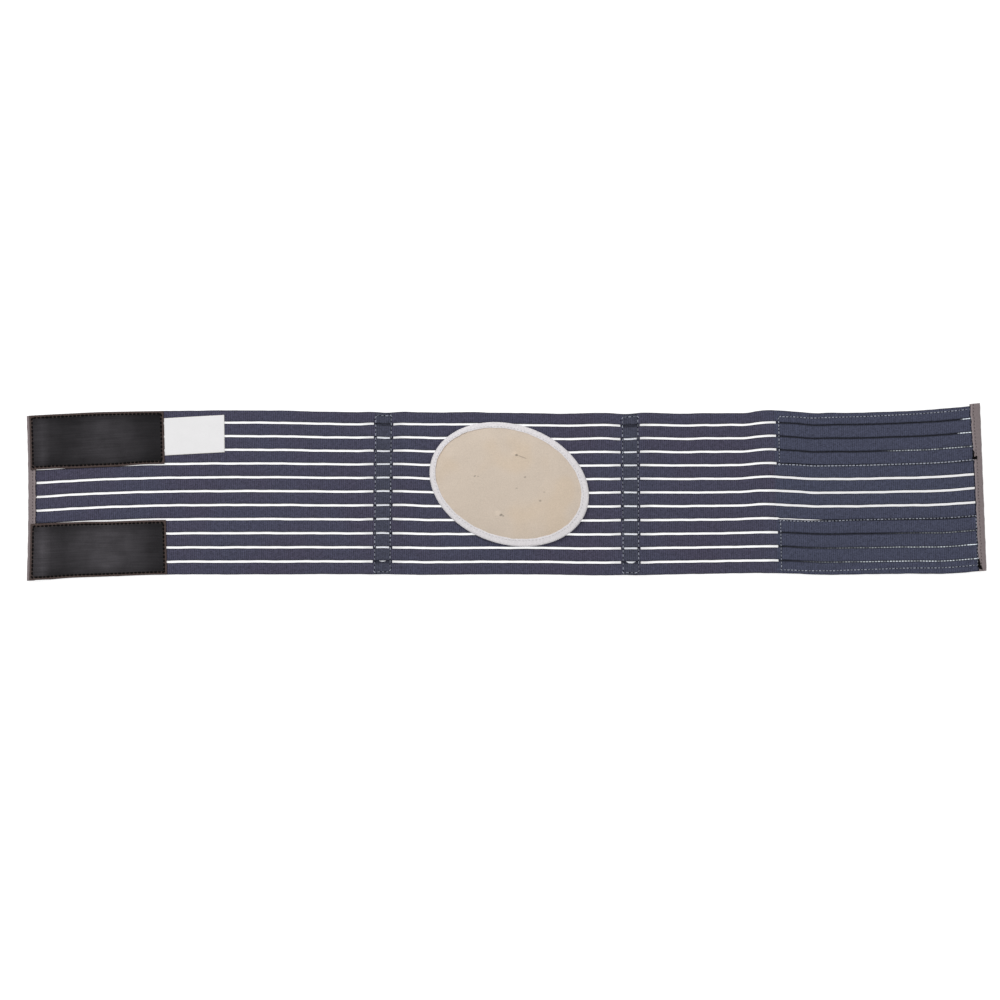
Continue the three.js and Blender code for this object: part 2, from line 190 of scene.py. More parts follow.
class BeltTrim(PropertyGroup):
    """Sizes of the cloth's own detail: ribs, stitches and hooks."""

    rib_pitch: size("Rib pitch", 0.00205, "From one rib of the elastic to the next")
    rib_height: size("Rib height", 0.00011, "How high a rib stands")
    stitch: size("Stitch pitch", 0.0039, "From one stitch of the hook tape to the next")
    long_stitch: size("Long stitch", 0.0042, "From one stitch of a casing to the next")
    fine_stitch: size("Fine stitch", 0.0034, "From one stitch of the loop tape to the next")
    thread: size("Thread", 0.00024, "Radius of the sewing thread")
    stitch_inset: size("Stitch inset", 0.0026, "Stitches in from a patch's edge")
    hook_pitch: size("Hook pitch", 0.00155, "From one hook to the next")
    hook_wire: size("Hook wire", 0.0001, "Radius of one hook's wire")
    rim_rib: size("Rim rib", 0.0017, "From one rib of the pad's binding to the next")
    seed: IntProperty(name="Seed", description="Seed of all that varies", default=7)


class BeltColours(PropertyGroup):
    """Colours of the belt's cloths and threads."""

    elastic: paint("Elastic", "#474457", "Bands, where they lean to purple")
    elastic_cool: paint("Cool elastic", "#454a5e", "Bands, where they lean to slate")
    tape: paint("End binding", "#867b7c", "Tape over the two ends")
    hook: paint("Hook tape", "#353336", "Hook tape and its hooks")
    hook_edge: paint("Hook edge", "#4f4340", "Border outside the stitches")
    loop: paint("Loop tape", "#3b3d4c", "Brushed loop tape")
    casing: paint("Casing", "#444656", "Tape over a stay")
    stay: paint("Stay", "#f6f9ff", "Plastic of the stays")
    label: paint("Label", "#f3f2f3", "Satin of the label")
    pad: paint("Pad", "#d8c9b9", "Brushed knit of the pad")
    rim: paint("Pad binding", "#ebe7e9", "Tape round the pad")
    black_thread: paint("Black thread", "#0e0c0d", "Thread of the hook tape")
    grey_thread: paint("Grey thread", "#b4b9c8", "Thread of the loop tape, at its lightest")
    # Dark dashes between the pale stitches of a lockstitch row: painted shade of the needle
    # holes
    hole_shade_colour: paint("Navy thread", "#2a2b38", "Painted shade of the needle holes between pale stitches")


def cut():
    return bpy.context.scene.belt_cut


def trim():
    return bpy.context.scene.belt_trim


def colours():
    return bpy.context.scene.belt_colours


# Where things lie on the flat pattern: u runs along from the left fold, v across from the
# middle line, and heights are above the surface that the belt lies on

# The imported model's origin is under the middle of its box, and the pattern's is not
BELT_SHIFT = (-0.00156097, -0.00088822)


def half_width():
    return (cut().bands * cut().band + (cut().bands - 1) * cut().gap) / 2


def smooth(x, start, end):
    """0 before start, 1 after end, easing between them."""
    share = np.clip((x - start) / (end - start), 0, 1)
    return share * share * (3 - 2 * share)


def lay_at(share):
    """Sway, swell, lean and bow there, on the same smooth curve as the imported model."""
    share = np.clip(np.asarray(share, float), 0, 1)
    rows = np.array(LAY)
    marks, values = rows[:, 0], rows[:, 1:]
    last = len(marks) - 1
    here = np.clip(np.searchsorted(marks, share, side="right"), 1, last)
    first, ends = here < 2, here == last
    before = np.where(first, here, here - 2)
    after = np.where(ends, here - 1, here + 1)
    start, end = marks[here - 1], marks[here]
    half = (end - start) / 2
    back = half / (start - marks[before])
    ahead = half / (marks[after] - end)
    p = (share - start) / (end - start)
    p2, p3 = p * p, p * p * p
    weights = (
        (before, -back * p3 + 2 * back * p2 - back * p),
        (here - 1, (1 + back) * p3 + (-1.5 - 2 * back) * p2 + (back - 0.5) * p + 1),
        (here, (-1 - ahead) * p3 + (1.5 + ahead) * p2 + 0.5 * p),
        (after, ahead * p3 - ahead * p2),
    )
    total = sum(weight[..., None] * values[at] for at, weight in weights)
    return np.moveaxis(total, -1, 0)


def eased(x, marks, values):
    """Values at marks, with smooth steps between them."""
    at = np.clip(np.searchsorted(marks, x, side="right"), 1, len(marks) - 1)
    share = smooth(x, marks[at - 1], marks[at])
    return values[at - 1] + (values[at] - values[at - 1]) * share


def stray(u, v):
    """How far a place lies up the page from the smooth lie."""
    marks, *lines = np.array(STRAY).T / 1000
    upper, middle, lower = (eased(u, marks, line) for line in lines)
    above, below = smooth(v, 0, half_width()), smooth(-v, 0, half_width())
    return above * upper + below * lower + (1 - above - below) * middle


def laid(u, v):
    """x and y of places on the pattern."""
    width = 2 * half_width()
    sway, swell, lean, bow = lay_at(u / cut().length)
    inward = 1 - (2 * v / width) ** 2
    x = u - cut().length / 2 + lean * v + bow * width * inward
    y = v * (1 + swell) + (sway + MIDDLE_LIFT * inward) * width + stray(u, v)
    return x + BELT_SHIFT[0], y + BELT_SHIFT[1]


def fitted(rows, side, low, high):
    """A place function for a patch that is cut from low to high and sewn to those edges."""
    marks, *edges = np.array(rows).T / 1000
    top, bottom = (edges[0], edges[1]) if side > 0 else (edges[2], edges[3])

    def place(u, v):
        under, over = eased(u, marks, bottom), eased(u, marks, top)
        return laid(u, under + (over - under) * (v - low) / (high - low))

    return place


def fold_depth():
    return cut().tape_thick + cut().clearance


def casing_lift():
    return cut().casing_thick + cut().stay_thick + 2 * cut().clearance


def loop_lift():
    return cut().loop_thick + cut().clearance


def loop_start():
    return cut().length - fold_depth() - cut().loop_length


def casing_centres():
    middle = cut().length / 2
    return middle - cut().left_casing, middle + cut().right_casing


def nearness(u, start, end):
    """1 over what lifts a sheet, easing to 0 at the foot of the ramp beside it."""
    beyond = np.maximum(np.maximum(start - u, u - end), 0) - cut().clearance
    return 1 - smooth(beyond, 0, cut().ramp)


def elastic_under(u):
    c = cut()
    half = c.casing_width / 2
    lifts = [
        (0, c.tape_width, fold_depth()),
        (loop_start(), c.length, loop_lift()),
        (c.length - c.tape_width, c.length, fold_depth() + loop_lift()),
    ]
    lifts += [(centre - half, centre + half, casing_lift()) for centre in casing_centres()]
    return np.max([high * nearness(u, start, end) for start, end, high in lifts], axis=0)


def elastic_top(u):
    return elastic_under(u) + cut().elastic


def hook_under(u):
    step = fold_depth() * nearness(u, 0, cut().tape_width)
    return elastic_top(u) + cut().clearance + step


def opening(gap, u):
    """How wide a gap is: pinched at the casing seams and narrower over tape."""
    c = cut()
    wide = np.full_like(u, c.open_gap)
    for centre in casing_centres():
        inside = 1 - smooth(abs(u - centre), c.seam_spacing / 2, c.seam_spacing / 2 + 0.0015)
        wide = wide + (c.casing_gap - c.open_gap) * inside
    reach = c.loop_width + c.loop_inset + c.gap / 2
    loop_gaps = math.floor(reach / (c.band + c.gap))
    if min(gap, c.bands - gap) <= loop_gaps:
        wide = wide + (c.loop_gap - wide) * smooth(u, loop_start(), loop_start() + 0.0016)
    for centre in casing_centres():
        for seam in (centre - c.seam_spacing / 2, centre + c.seam_spacing / 2):
            wide = wide * smooth(abs(u - seam), 0.0002, 0.0014)
    return wide


def gap_centre(gap):
    """The middle line of a gap, or the belt's edge before the first and after the last."""
    line = -half_width() + gap * cut().band + (gap - 0.5) * cut().gap
    return float(np.clip(line, -half_width(), half_width()))


def waver(gap, u):
    """How far the loose bands draw a gap, or an outer edge, out of line."""
    loose = 0.00016 if 0 < gap < cut().bands else 0.00012
    return loose * ripple(u, 0.058, trim().seed + 60 + gap)


def ripple(x, pitch, seed):
    """A smooth uneven wave between about -1 and 1, from a few sines of mixed lengths."""
    rng = np.random.default_rng(seed)
    total = 0
    for stretch, weight in ((1, 0.5), (0.61, 0.3), (0.37, 0.2)):
        total = total + weight * np.sin(2 * np.pi * x / (pitch * stretch) + rng.uniform(0, 6.3))
    return total


# Skins: closed shapes made of rings of points, in pattern places and heights

SEAM_STEP = 0.0003       # between the close lines of points beside a row of stitches
EDGE_SHARE = 0.35        # how thick a sheet's very edge is, as a share of the sheet
FOLD_ROUND = 0.0019      # the widest that a folded tape's round is
# Where points lie along a folded tape's leg, from its raw end to the round
LEG_STEPS = np.array([1, 0.97, 0.8, 0.6, 0.4, 0.2, 0])
MOST_OFF = 0.004         # how far a piece may lie off the solid that it stands for


def out_and_back(rows):
    """Rows across a sheet's upper side, then back across its lower side."""
    return np.concatenate((rows, rows[:, ::-1]), axis=1)


def skin(u, v, h, place=laid, closed=False, **marks):
    """Points, faces and marks of a closed skin over rings, one row of the arrays each."""
    x, y = place(u, v)
    ids = np.arange(h.size).reshape(h.shape)
    here = ids if closed else ids[:-1]
    there = np.roll(ids, -1, axis=0) if closed else ids[1:]
    ring = (here, np.roll(here, -1, axis=1), np.roll(there, -1, axis=1), there)
    faces = np.stack(ring, axis=-1).reshape(-1, 4).tolist()
    if not closed:
        faces += [ids[0].tolist(), ids[-1][::-1].tolist()]
    flat = {"u": u, "v": v, **marks}
    flat = {name: np.broadcast_to(value, h.shape).ravel() for name, value in flat.items()}
    return np.stack((x, y, h), axis=-1).reshape(-1, 3), faces, flat


def depth_in(u, v, start, end, low, high):
    """How far in from a patch's nearest edge a place lies."""
    return np.minimum(np.minimum(u - start, end - u), np.minimum(v - low, high - v))


def seam_lines(start, end, count):
    """Even places across a patch, with closer ones beside its stitches."""
    near = trim().stitch_inset + np.arange(-3, 4) * SEAM_STEP
    return np.unique(np.concatenate((np.linspace(start, end, count), start + near, end - near)))


def cloth(u, v, under, thick, edge=0.0003, skew=0, place=laid):
    """A closed sheet on a grid of places u and lines v, its edges rounded over a width."""
    u, v = (np.sort([*marks, marks[0] + edge, marks[-1] - edge]) for marks in (u, v))
    inset = depth_in(u[:, None], v[None, :], u[0], u[-1], v[0], v[-1])
    full = EDGE_SHARE + (1 - EDGE_SHARE) * smooth(inset, -edge / 2, edge)
    places, lines = np.meshgrid(u, v, indexing="ij")
    lines = lines + skew * (places - u.mean())
    deep = thick(places, lines) if callable(thick) else thick
    middle, half = under(places, lines) + deep / 2, full * deep / 2
    height = np.concatenate((middle + half, (middle - half)[:, ::-1]), axis=1)
    side = np.concatenate((np.ones_like(half), np.zeros_like(half)), axis=1)
    return skin(out_and_back(places), out_and_back(lines), height, place,
                inset=out_and_back(inset), face=side)


def folded_ring(width, high, rise, thick):
    """Inset and height round a tape folded over an edge: two legs and a round fold."""
    low, high = thick / 2, high - thick / 2
    round_off = min((high - low) / 2, FOLD_ROUND)
    leg = LEG_STEPS * (width - round_off - thick / 2)
    bend = np.linspace(0, math.pi, 9)[1:-1]
    start = round_off + thick / 2
    inset = np.concatenate((leg + start, start - round_off * np.sin(bend), leg[::-1] + start))
    middle, half = (low + high) / 2, (high - low) / 2
    top = high + rise * LEG_STEPS
    height = np.concatenate((top, middle + half * np.cos(bend), np.full(len(leg), low)))
    d_in, d_up = np.gradient(inset), np.gradient(height)
    length = np.hypot(d_in, d_up)
    taper = np.full(len(inset), thick / 2)
    taper[[0, -1]] *= 0.45
    out_in, out_up = taper * d_up / length, -taper * d_in / length
    ring_in = np.concatenate((inset + out_in, (inset - out_in)[::-1]))
    ring_up = np.concatenate((height + out_up, (height - out_up)[::-1]))
    return ring_in, ring_up, np.concatenate((width - inset, (width - inset)[::-1]))


def add_object(name, mesh):
    made = bpy.data.objects.new(name, mesh)
    bpy.context.scene.collection.objects.link(made)
    return made


def new_piece(name, skins, material):
    """One mesh object of these skins, with the pattern as its UV map and its marks kept."""
    points, faces, marks, count = [], [], {}, 0
    for part_points, part_faces, part_marks in skins:
        points.append(part_points)
        faces += [[i + count for i in face] for face in part_faces]
        count += len(part_points)
        for key, value in part_marks.items():
            marks.setdefault(key, []).append(value)
    marks = {key: np.concatenate(value) for key, value in marks.items()}
    mesh = bpy.data.meshes.new(name)
    mesh.from_pydata(np.concatenate(points).tolist(), [], faces)
    for key, value in marks.items():
        mesh.attributes.new(key, "FLOAT", "POINT").data.foreach_set("value", value)
    corners = np.empty(len(mesh.loops), int)
    mesh.loops.foreach_get("vertex_index", corners)
    uv = np.stack((marks["u"], marks["v"]), axis=-1)[corners]
    mesh.uv_layers.new(name="pattern").data.foreach_set("uv", uv.ravel())
    outward = bmesh.new()
    outward.from_mesh(mesh)
    bmesh.ops.recalc_face_normals(outward, faces=outward.faces)
    outward.to_mesh(mesh)
    outward.free()
    mesh.shade_smooth()
    mesh.materials.append(material)
    return add_object(name, mesh)


def finish_piece(piece, node):
    """Puts a piece on the belt's one body, in place of the node that it stands for."""
    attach(piece, "root")
    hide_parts(node)
    corners = np.array([v.co for v in piece.data.vertices])
    low, high = (np.array(corner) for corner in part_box(node))
    off = np.abs([corners.min(0) - low, corners.max(0) - high])[:, :2].max()
    if off > MOST_OFF:
        raise RuntimeError(f"{piece.name} lies {off * 1000:.1f} mm off {node}")
    return piece


# Node trees

def in_use(sockets):
    return [socket for socket in sockets if socket.enabled]


def out_of(value):
    """A node's first output, or the socket or value itself."""
    return in_use(value.outputs)[0] if isinstance(value, Node) else value


def add_node(tree, kind, sockets=(), **settings):
    """A node with its settings, and its inputs set or linked: those that are named or, in
    order, those that its settings leave in use."""
    made = tree.nodes.new(kind)
    for name, value in settings.items():
        setattr(made, name, value)
    named = isinstance(sockets, dict)
    inputs = [made.inputs[name] for name in sockets] if named else in_use(made.inputs)
    for socket, value in zip(inputs, sockets.values() if named else sockets):
        value = out_of(value)
        if isinstance(value, NodeSocket):
            tree.links.new(value, socket)
        else:
            socket.default_value = (*value, 1) if socket.type == "RGBA" else value
    return made


def new_tree(name, **inputs):
    """A Geometry Nodes tree with named inputs, and its input node."""
    tree = bpy.data.node_groups.new(name, "GeometryNodeTree")
    for label, kind in {"Geometry": "Geometry", **inputs}.items():
        tree.interface.new_socket(label, in_out="INPUT", socket_type=f"NodeSocket{kind}")
    tree.interface.new_socket("Geometry", in_out="OUTPUT", socket_type="NodeSocketGeometry")
    return tree, add_node(tree, "NodeGroupInput")


def close_tree(tree, given, geometry):
    """Ends a tree in real geometry with the material that it was given."""
    real = add_node(tree, "GeometryNodeRealizeInstances", (geometry,))
    painted = add_node(tree, "GeometryNodeSetMaterial", {
        "Geometry": real, "Material": given.outputs["Material"],
    })
    add_node(tree, "NodeGroupOutput", (painted,))
    return tree


def rib_tree():
    """Raises even ribs across a tape, as far as its mark relief lets them."""
    tree, given = new_tree("Ribs", Pitch="Float", Height="Float", Material="Material")
    along, relief = (add_node(tree, "GeometryNodeInputNamedAttribute", {"Name": name})
                     for name in ("along", "relief"))
    turns = add_node(tree, "ShaderNodeMath", (along, given.outputs["Pitch"]),
                     operation="DIVIDE")
    angle = add_node(tree, "ShaderNodeMath", (turns, 2 * math.pi), operation="MULTIPLY")
    wave = add_node(tree, "ShaderNodeMath", (angle,), operation="SINE")
    tall = add_node(tree, "ShaderNodeMath", (wave, given.outputs["Height"]),
                    operation="MULTIPLY")
    held = add_node(tree, "ShaderNodeMath", (tall, relief), operation="MULTIPLY")
    normal = add_node(tree, "GeometryNodeInputNormal")
    move = add_node(tree, "ShaderNodeVectorMath", (normal, held), operation="SCALE")
    raised = add_node(tree, "GeometryNodeSetPosition", {"Geometry": given, "Offset": move})
    return close_tree(tree, given, raised)


def bent_wire(tree, shares, long, tall, shift, radius, steps, sides):
    """A thin tube along a bend whose four corners are shares of its length and height."""
    ends = {"Resolution": steps}
    for name, (along, up) in zip(("Start", "Start Handle", "End Handle", "End"), shares):
        reach = add_node(tree, "ShaderNodeMath", (long, along, shift),
                         operation="MULTIPLY_ADD")
        lift = add_node(tree, "ShaderNodeMath", (tall, up), operation="MULTIPLY")
        ends[name] = add_node(tree, "ShaderNodeCombineXYZ", {"X": reach, "Z": lift})
    bend = add_node(tree, "GeometryNodeCurvePrimitiveBezierSegment", ends)
    section = add_node(tree, "GeometryNodeCurvePrimitiveCircle", {
        "Resolution": sides, "Radius": radius,
    })
    return add_node(tree, "GeometryNodeCurveToMesh", {
        "Curve": bend, "Profile Curve": section, "Fill Caps": True,
    })


def stitch_tree():
    """Lays stitches at even steps along the paths that it is given."""
    tree, given = new_tree("Stitches", Pitch="Float", Length="Float", Thread="Float",
                           Rise="Float", Shift="Float", Seed="Int", Material="Material")
    wanted = given.outputs
    path = add_node(tree, "GeometryNodeMeshToCurve", {"Mesh": given})
    steps = add_node(tree, "GeometryNodeResampleCurve", {
        "Curve": path, "Length": wanted["Pitch"],
    }, mode="LENGTH")
    arch = ((-0.5, -0.7), (-0.25, 1), (0.25, 1), (0.5, -0.7))
    thread = bent_wire(tree, arch, wanted["Length"], wanted["Rise"], wanted["Shift"],
                       wanted["Thread"], 5, 5)
    tangent = add_node(tree, "GeometryNodeInputTangent")
    heading = add_node(tree, "FunctionNodeAlignRotationToVector", {"Vector": tangent},
                       axis="X", pivot_axis="Z")
    slack, shade = (add_node(tree, "FunctionNodeRandomValue", {
        2: least, 3: most, "Seed": wanted["Seed"],
    }, data_type="FLOAT") for least, most in ((0.86, 1.1), (0.0, 1.0)))
    sewn = add_node(tree, "GeometryNodeInstanceOnPoints", {
        "Points": steps, "Instance": thread, "Rotation": heading, "Scale": slack,
    })
    marked = add_node(tree, "GeometryNodeStoreNamedAttribute", {
        "Geometry": sewn, "Name": "shade", "Value": shade,
    }, data_type="FLOAT", domain="INSTANCE")
    return close_tree(tree, given, marked)


def hook_tree():
    """Stands a small bent hook on every point that it is given."""
    tree, given = new_tree("Hooks", Height="Float", Wire="Float", Seed="Int",
                           Material="Material")
    tall = given.outputs["Height"]
    bend = ((0, 0), (0, 1.25), (0.75, 1.5), (0.8, 0.45))
    hook = bent_wire(tree, bend, tall, tall, 0.0, given.outputs["Wire"], 4, 3)
    turn = add_node(tree, "GeometryNodeInputNamedAttribute", {"Name": "turn"})
    sway = add_node(tree, "FunctionNodeRandomValue", {
        2: -0.35, 3: 0.35, "Seed": given.outputs["Seed"],
    }, data_type="FLOAT")
    angle = add_node(tree, "ShaderNodeMath", (turn, sway), operation="ADD")
    spin = add_node(tree, "ShaderNodeCombineXYZ", {"Z": angle})
    heading = add_node(tree, "FunctionNodeEulerToRotation", (spin,))
    stood = add_node(tree, "GeometryNodeInstanceOnPoints", {
        "Points": given, "Instance": hook, "Rotation": heading,
    })
    return close_tree(tree, given, stood)


def evaluated(piece):
    """The mesh that a piece's modifiers make of it."""
    graph = bpy.context.evaluated_depsgraph_get()
    return bpy.data.meshes.new_from_object(
        piece.evaluated_get(graph), preserve_all_data_layers=True, depsgraph=graph
    )


def grow(piece, tree, values):
    """Runs a tree on a piece and leaves its result as a plain mesh."""
    step = piece.modifiers.new(tree.name, "NODES")
    step.node_group = tree
    for item in tree.interface.items_tree:
        if item.in_out == "INPUT" and item.name in values:
            step[item.identifier] = values[item.name]
    bpy.context.view_layer.update()
    shape = evaluated(piece)
    piece.modifiers.remove(step)
    plain, piece.data = piece.data, shape
    bpy.data.meshes.remove(plain)
    shape.name = piece.name
    if not len(shape.polygons):
        raise RuntimeError(f"{tree.name} made nothing of {piece.name}")


def tree_named(name, make):
    """The tree with that name, made when it is first wanted."""
    return bpy.data.node_groups.get(name) or make()


def sew(name, paths, material, pitch, length, rise, thread, shift=0.0):
    """Stitches along paths, each a list of points and whether it closes on itself."""
    points, edges = [], []
    for path, closed in paths:
        count = len(points)
        points += path
        edges += [(count + i, count + i + 1) for i in range(len(path) - 1)]
        if closed:
            edges.append((count + len(path) - 1, count))
    mesh = bpy.data.meshes.new(name)
    mesh.from_pydata(points, edges, [])
    piece = add_object(name, mesh)
    grow(piece, tree_named("Stitches", stitch_tree), {
        "Pitch": pitch, "Length": length, "Rise": rise, "Thread": thread, "Shift": shift,
        "Seed": trim().seed, "Material": material,
    })
    piece.data.shade_smooth()
    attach(piece, "root")


def path_on(height, *corners, step=0.003, place=laid):
    """Points of a line through corners on the pattern, at the height that it lies on."""
    u, v = [], []
    for (u0, v0), (u1, v1) in zip(corners, corners[1:]):
        count = max(2, round(math.hypot(u1 - u0, v1 - v0) / step))
        share = np.arange(count) / count
        u.append(u0 + (u1 - u0) * share)
        v.append(v0 + (v1 - v0) * share)
    u, v = (np.append(np.concatenate(line), end) for line, end in zip((u, v), corners[-1]))
    x, y = place(u, v)
    return list(zip(x, y, height(u) + np.zeros_like(u)))


def box_path(height, start, end, low, high, place=laid):
    """A closed row of stitches round a patch."""
    corners = [(start, low), (end, low), (end, high), (start, high), (start, low)]
    return path_on(height, *corners, place=place)[:-1], True


# Materials. A grain is the size of what it shows, in metres. Real weave, nap and pile are too
# fine to show in the render, so theirs are drawn coarser.

# Settings of the two nodes that ease a value and blend two colours
EASED = {"interpolation_type": "SMOOTHSTEP"}
IN_COLOUR = {"data_type": "RGBA"}


def new_material(name, colour, **sockets):
    """A principled material and its tree; sockets are constants set on the shader."""
    material = bpy.data.materials.new(name)
    material.use_nodes = True
    shader = material.node_tree.nodes["Principled BSDF"]
    shader.inputs["Base Color"].default_value = (*colour, 1)
    for label, value in sockets.items():
        shader.inputs[label.replace("_", " ")].default_value = value
    return material, material.node_tree, shader


def material_named(name, make, *values, **options):
    """The material with that name, made when it is first wanted."""
    return bpy.data.materials.get(name) or make(*values, **options)


def on_pattern(tree):
    """The pattern's place, and its u and v, in metres."""
    where = add_node(tree, "ShaderNodeUVMap", uv_map="pattern")
    split = add_node(tree, "ShaderNodeSeparateXYZ", (where,))
    return where, split.outputs[0], split.outputs[1]


def ribs_of(tree, where, pitch):
    """An even wave from -1 to 1 along a coordinate."""
    angle = add_node(tree, "ShaderNodeMath", (where, 2 * math.pi / pitch),
                     operation="MULTIPLY")
    return add_node(tree, "ShaderNodeMath", (angle,), operation="SINE")


def add_up(tree, total, *weighted):
    """A start and the sum of values, each times its weight."""
    for value, weight in weighted:
        total = add_node(tree, "ShaderNodeMath", (value, weight, total),
                         operation="MULTIPLY_ADD")
    return total


def dress(tree, shader, colour, height, depth):
    """Links a colour to the shader, and bump of that depth in metres."""
    bump = add_node(tree, "ShaderNodeBump", {"Distance": depth, "Height": height})
    tree.links.new(out_of(colour), shader.inputs["Base Color"])
    tree.links.new(out_of(bump), shader.inputs["Normal"])


def times(colour, *shares):
    """A constant colour times one share, or times a share for each of its three parts."""
    return tuple(part * share for part, share in zip(colour, shares * (3 // len(shares))))


def ribbed_elastic():
    """Woven elastic: fine ribs across each band, mottled yarn, and painted shade that darkens
    each band towards its edges beside the gaps, so the bands read as matt stretch cloth that
    drifts between purple and slate."""
    c = colours()
    material, tree, shader = new_material(
        "Nylon elastic, rib woven", c.elastic, Roughness=0.86, Sheen_Weight=0.08,
        Sheen_Roughness=0.5, Specular_IOR_Level=0.25,
    )
    where, u, v = on_pattern(tree)
    ribs, rows = ribs_of(tree, u, trim().rib_pitch), ribs_of(tree, v, 0.0009)
    yarn, slub, drift = (
        add_node(tree, "ShaderNodeTexNoise", (where, 1 / grain, detail))
        for grain, detail in ((0.0012, 3.0), (0.0032, 2.0), (0.07, 2.0))
    )
    drift = add_node(tree, "ShaderNodeMapRange", (drift, 0.3, 0.7, 0.0, 0.5), **EASED)
    over_loops = add_node(tree, "ShaderNodeMapRange", (
        u, loop_start() - 0.004, loop_start(), 0.0, 0.8,
    ), **EASED)
    share = add_node(tree, "ShaderNodeMath", (drift, over_loops), operation="MAXIMUM")
    base = add_node(tree, "ShaderNodeMix", (share, c.elastic, c.elastic_cool), **IN_COLOUR)
    for centre in casing_centres():
        over = add_node(tree, "ShaderNodeMath", (u, centre, cut().seam_spacing / 2),
                        operation="COMPARE")
        base = add_node(tree, "ShaderNodeMix", (over, base, c.casing), **IN_COLOUR)
    tone = add_up(tree, -0.3, (ribs, 0.2), (rows, 0.03), (yarn, 1.7), (slub, 0.9))
    inset = add_node(tree, "ShaderNodeAttribute", attribute_name="inset").outputs["Fac"]
    # Painted shade: each band turns darker towards its edges beside the gaps
    edge = add_node(tree, "ShaderNodeMapRange", (inset, 0.0002, 0.0013, 0.5, 1.0), **EASED)
    tone = add_node(tree, "ShaderNodeMath", (tone, edge), operation="MULTIPLY")
    toned = add_node(tree, "ShaderNodeVectorMath", (base, tone), operation="SCALE")
    dress(tree, shader, toned, add_up(tree, 0.0, (rows, 0.25), (yarn, 0.9)), 0.00012)
    return material


def woven_tape(name, colour, pitch, light_edge=0.0, contrast=0.06, roughness=0.8):
    """Plain-woven tape: a small check of warp and weft, and a paler line at the edge
    where light_edge is above 0, so it reads as narrow ribbon."""
    material, tree, shader = new_material(
        name, colour, Roughness=roughness, Sheen_Weight=0.1, Specular_IOR_Level=0.3,
    )
    where, u, v = on_pattern(tree)
    warp, weft = ribs_of(tree, u, pitch), ribs_of(tree, v, pitch)
    check = add_node(tree, "ShaderNodeMath", (warp, weft), operation="MULTIPLY")
    yarn = add_node(tree, "ShaderNodeTexNoise", (where, 1 / (pitch * 1.7), 3.0))
    tone = add_up(tree, 0.8, (check, contrast), (yarn, 0.4))
    if light_edge:
        inset = add_node(tree, "ShaderNodeAttribute", attribute_name="inset").outputs["Fac"]
        line = add_node(tree, "ShaderNodeMapRange", (
            inset, 0.0003, 0.0013, light_edge, 0.0,
        ), **EASED)
        tone = add_up(tree, tone, (line, 1.0))
    toned = add_node(tree, "ShaderNodeVectorMath", (colour, tone), operation="SCALE")
    dress(tree, shader, toned, add_up(tree, 0.0, (check, 0.4), (yarn, 0.8)), pitch * 0.12)
    return material


# Painted sheen on the hook tape, in broad light and dark patches from its left end to its right:
# where, and how light
SHEEN_PATCHES = [(0.0, 0.4), (0.04, 0.8), (0.11, 1.6), (0.17, 0.8), (0.26, 0.65), (0.4, 1.0),
       (0.58, 1.35), (0.74, 1.05), (0.88, 0.6), (1.0, 0.45)]


def hook_tone(tree, where, u, v):
    """Light and dark of the hook tape: broad patches of painted sheen, fine streaks along the
    weave, a lower patch that is a little paler than the upper one, and each patch darker
    towards its long edges."""
    share = add_node(tree, "ShaderNodeMapRange", (u, 0.0, cut().hook_inset + cut().hook_length))
    # The ramp paints sheen: broad light and dark patches along the tape
    nap_and_sheen = add_node(tree, "ShaderNodeValToRGB", (share,))
    stops = nap_and_sheen.color_ramp.elements
    for at, light in SHEEN_PATCHES:
        stop = stops.new(at) if 0 < at < 1 else stops[0 if at == 0 else len(stops) - 1]
        stop.color = (light / 2, light / 2, light / 2, 1)
    stretch = add_node(tree, "ShaderNodeMapping", {"Vector": where, "Scale": (0.05, 1.0, 1.0)})
    streaks = add_node(tree, "ShaderNodeTexNoise", (stretch, 1 / 0.0016, 3.0))
    clouds = add_node(tree, "ShaderNodeTexNoise", (where, 1 / 0.02, 3.0))
    tone = add_up(tree, 0.05, (streaks, 0.9), (clouds, 1.0))
    middle = half_width() - cut().upper_hook / 2
    off = add_node(tree, "ShaderNodeMath", (v,), operation="ABSOLUTE")
    off = add_node(tree, "ShaderNodeMath", (off, middle), operation="SUBTRACT")
    off = add_node(tree, "ShaderNodeMath", (off,), operation="ABSOLUTE")
    for eased in ((v, -0.03, 0.03, 1.32, 0.95), (off, 0.012, 0.024, 1.1, 0.66)):
        shade = add_node(tree, "ShaderNodeMapRange", eased, **EASED)
        tone = add_node(tree, "ShaderNodeMath", (tone, shade), operation="MULTIPLY")
    # The ramp holds half of each light, because its colours end at 1
    tone = add_node(tree, "ShaderNodeMath", (tone, 2.0), operation="MULTIPLY")
    return add_node(tree, "ShaderNodeVectorMath", (nap_and_sheen, tone), operation="SCALE")


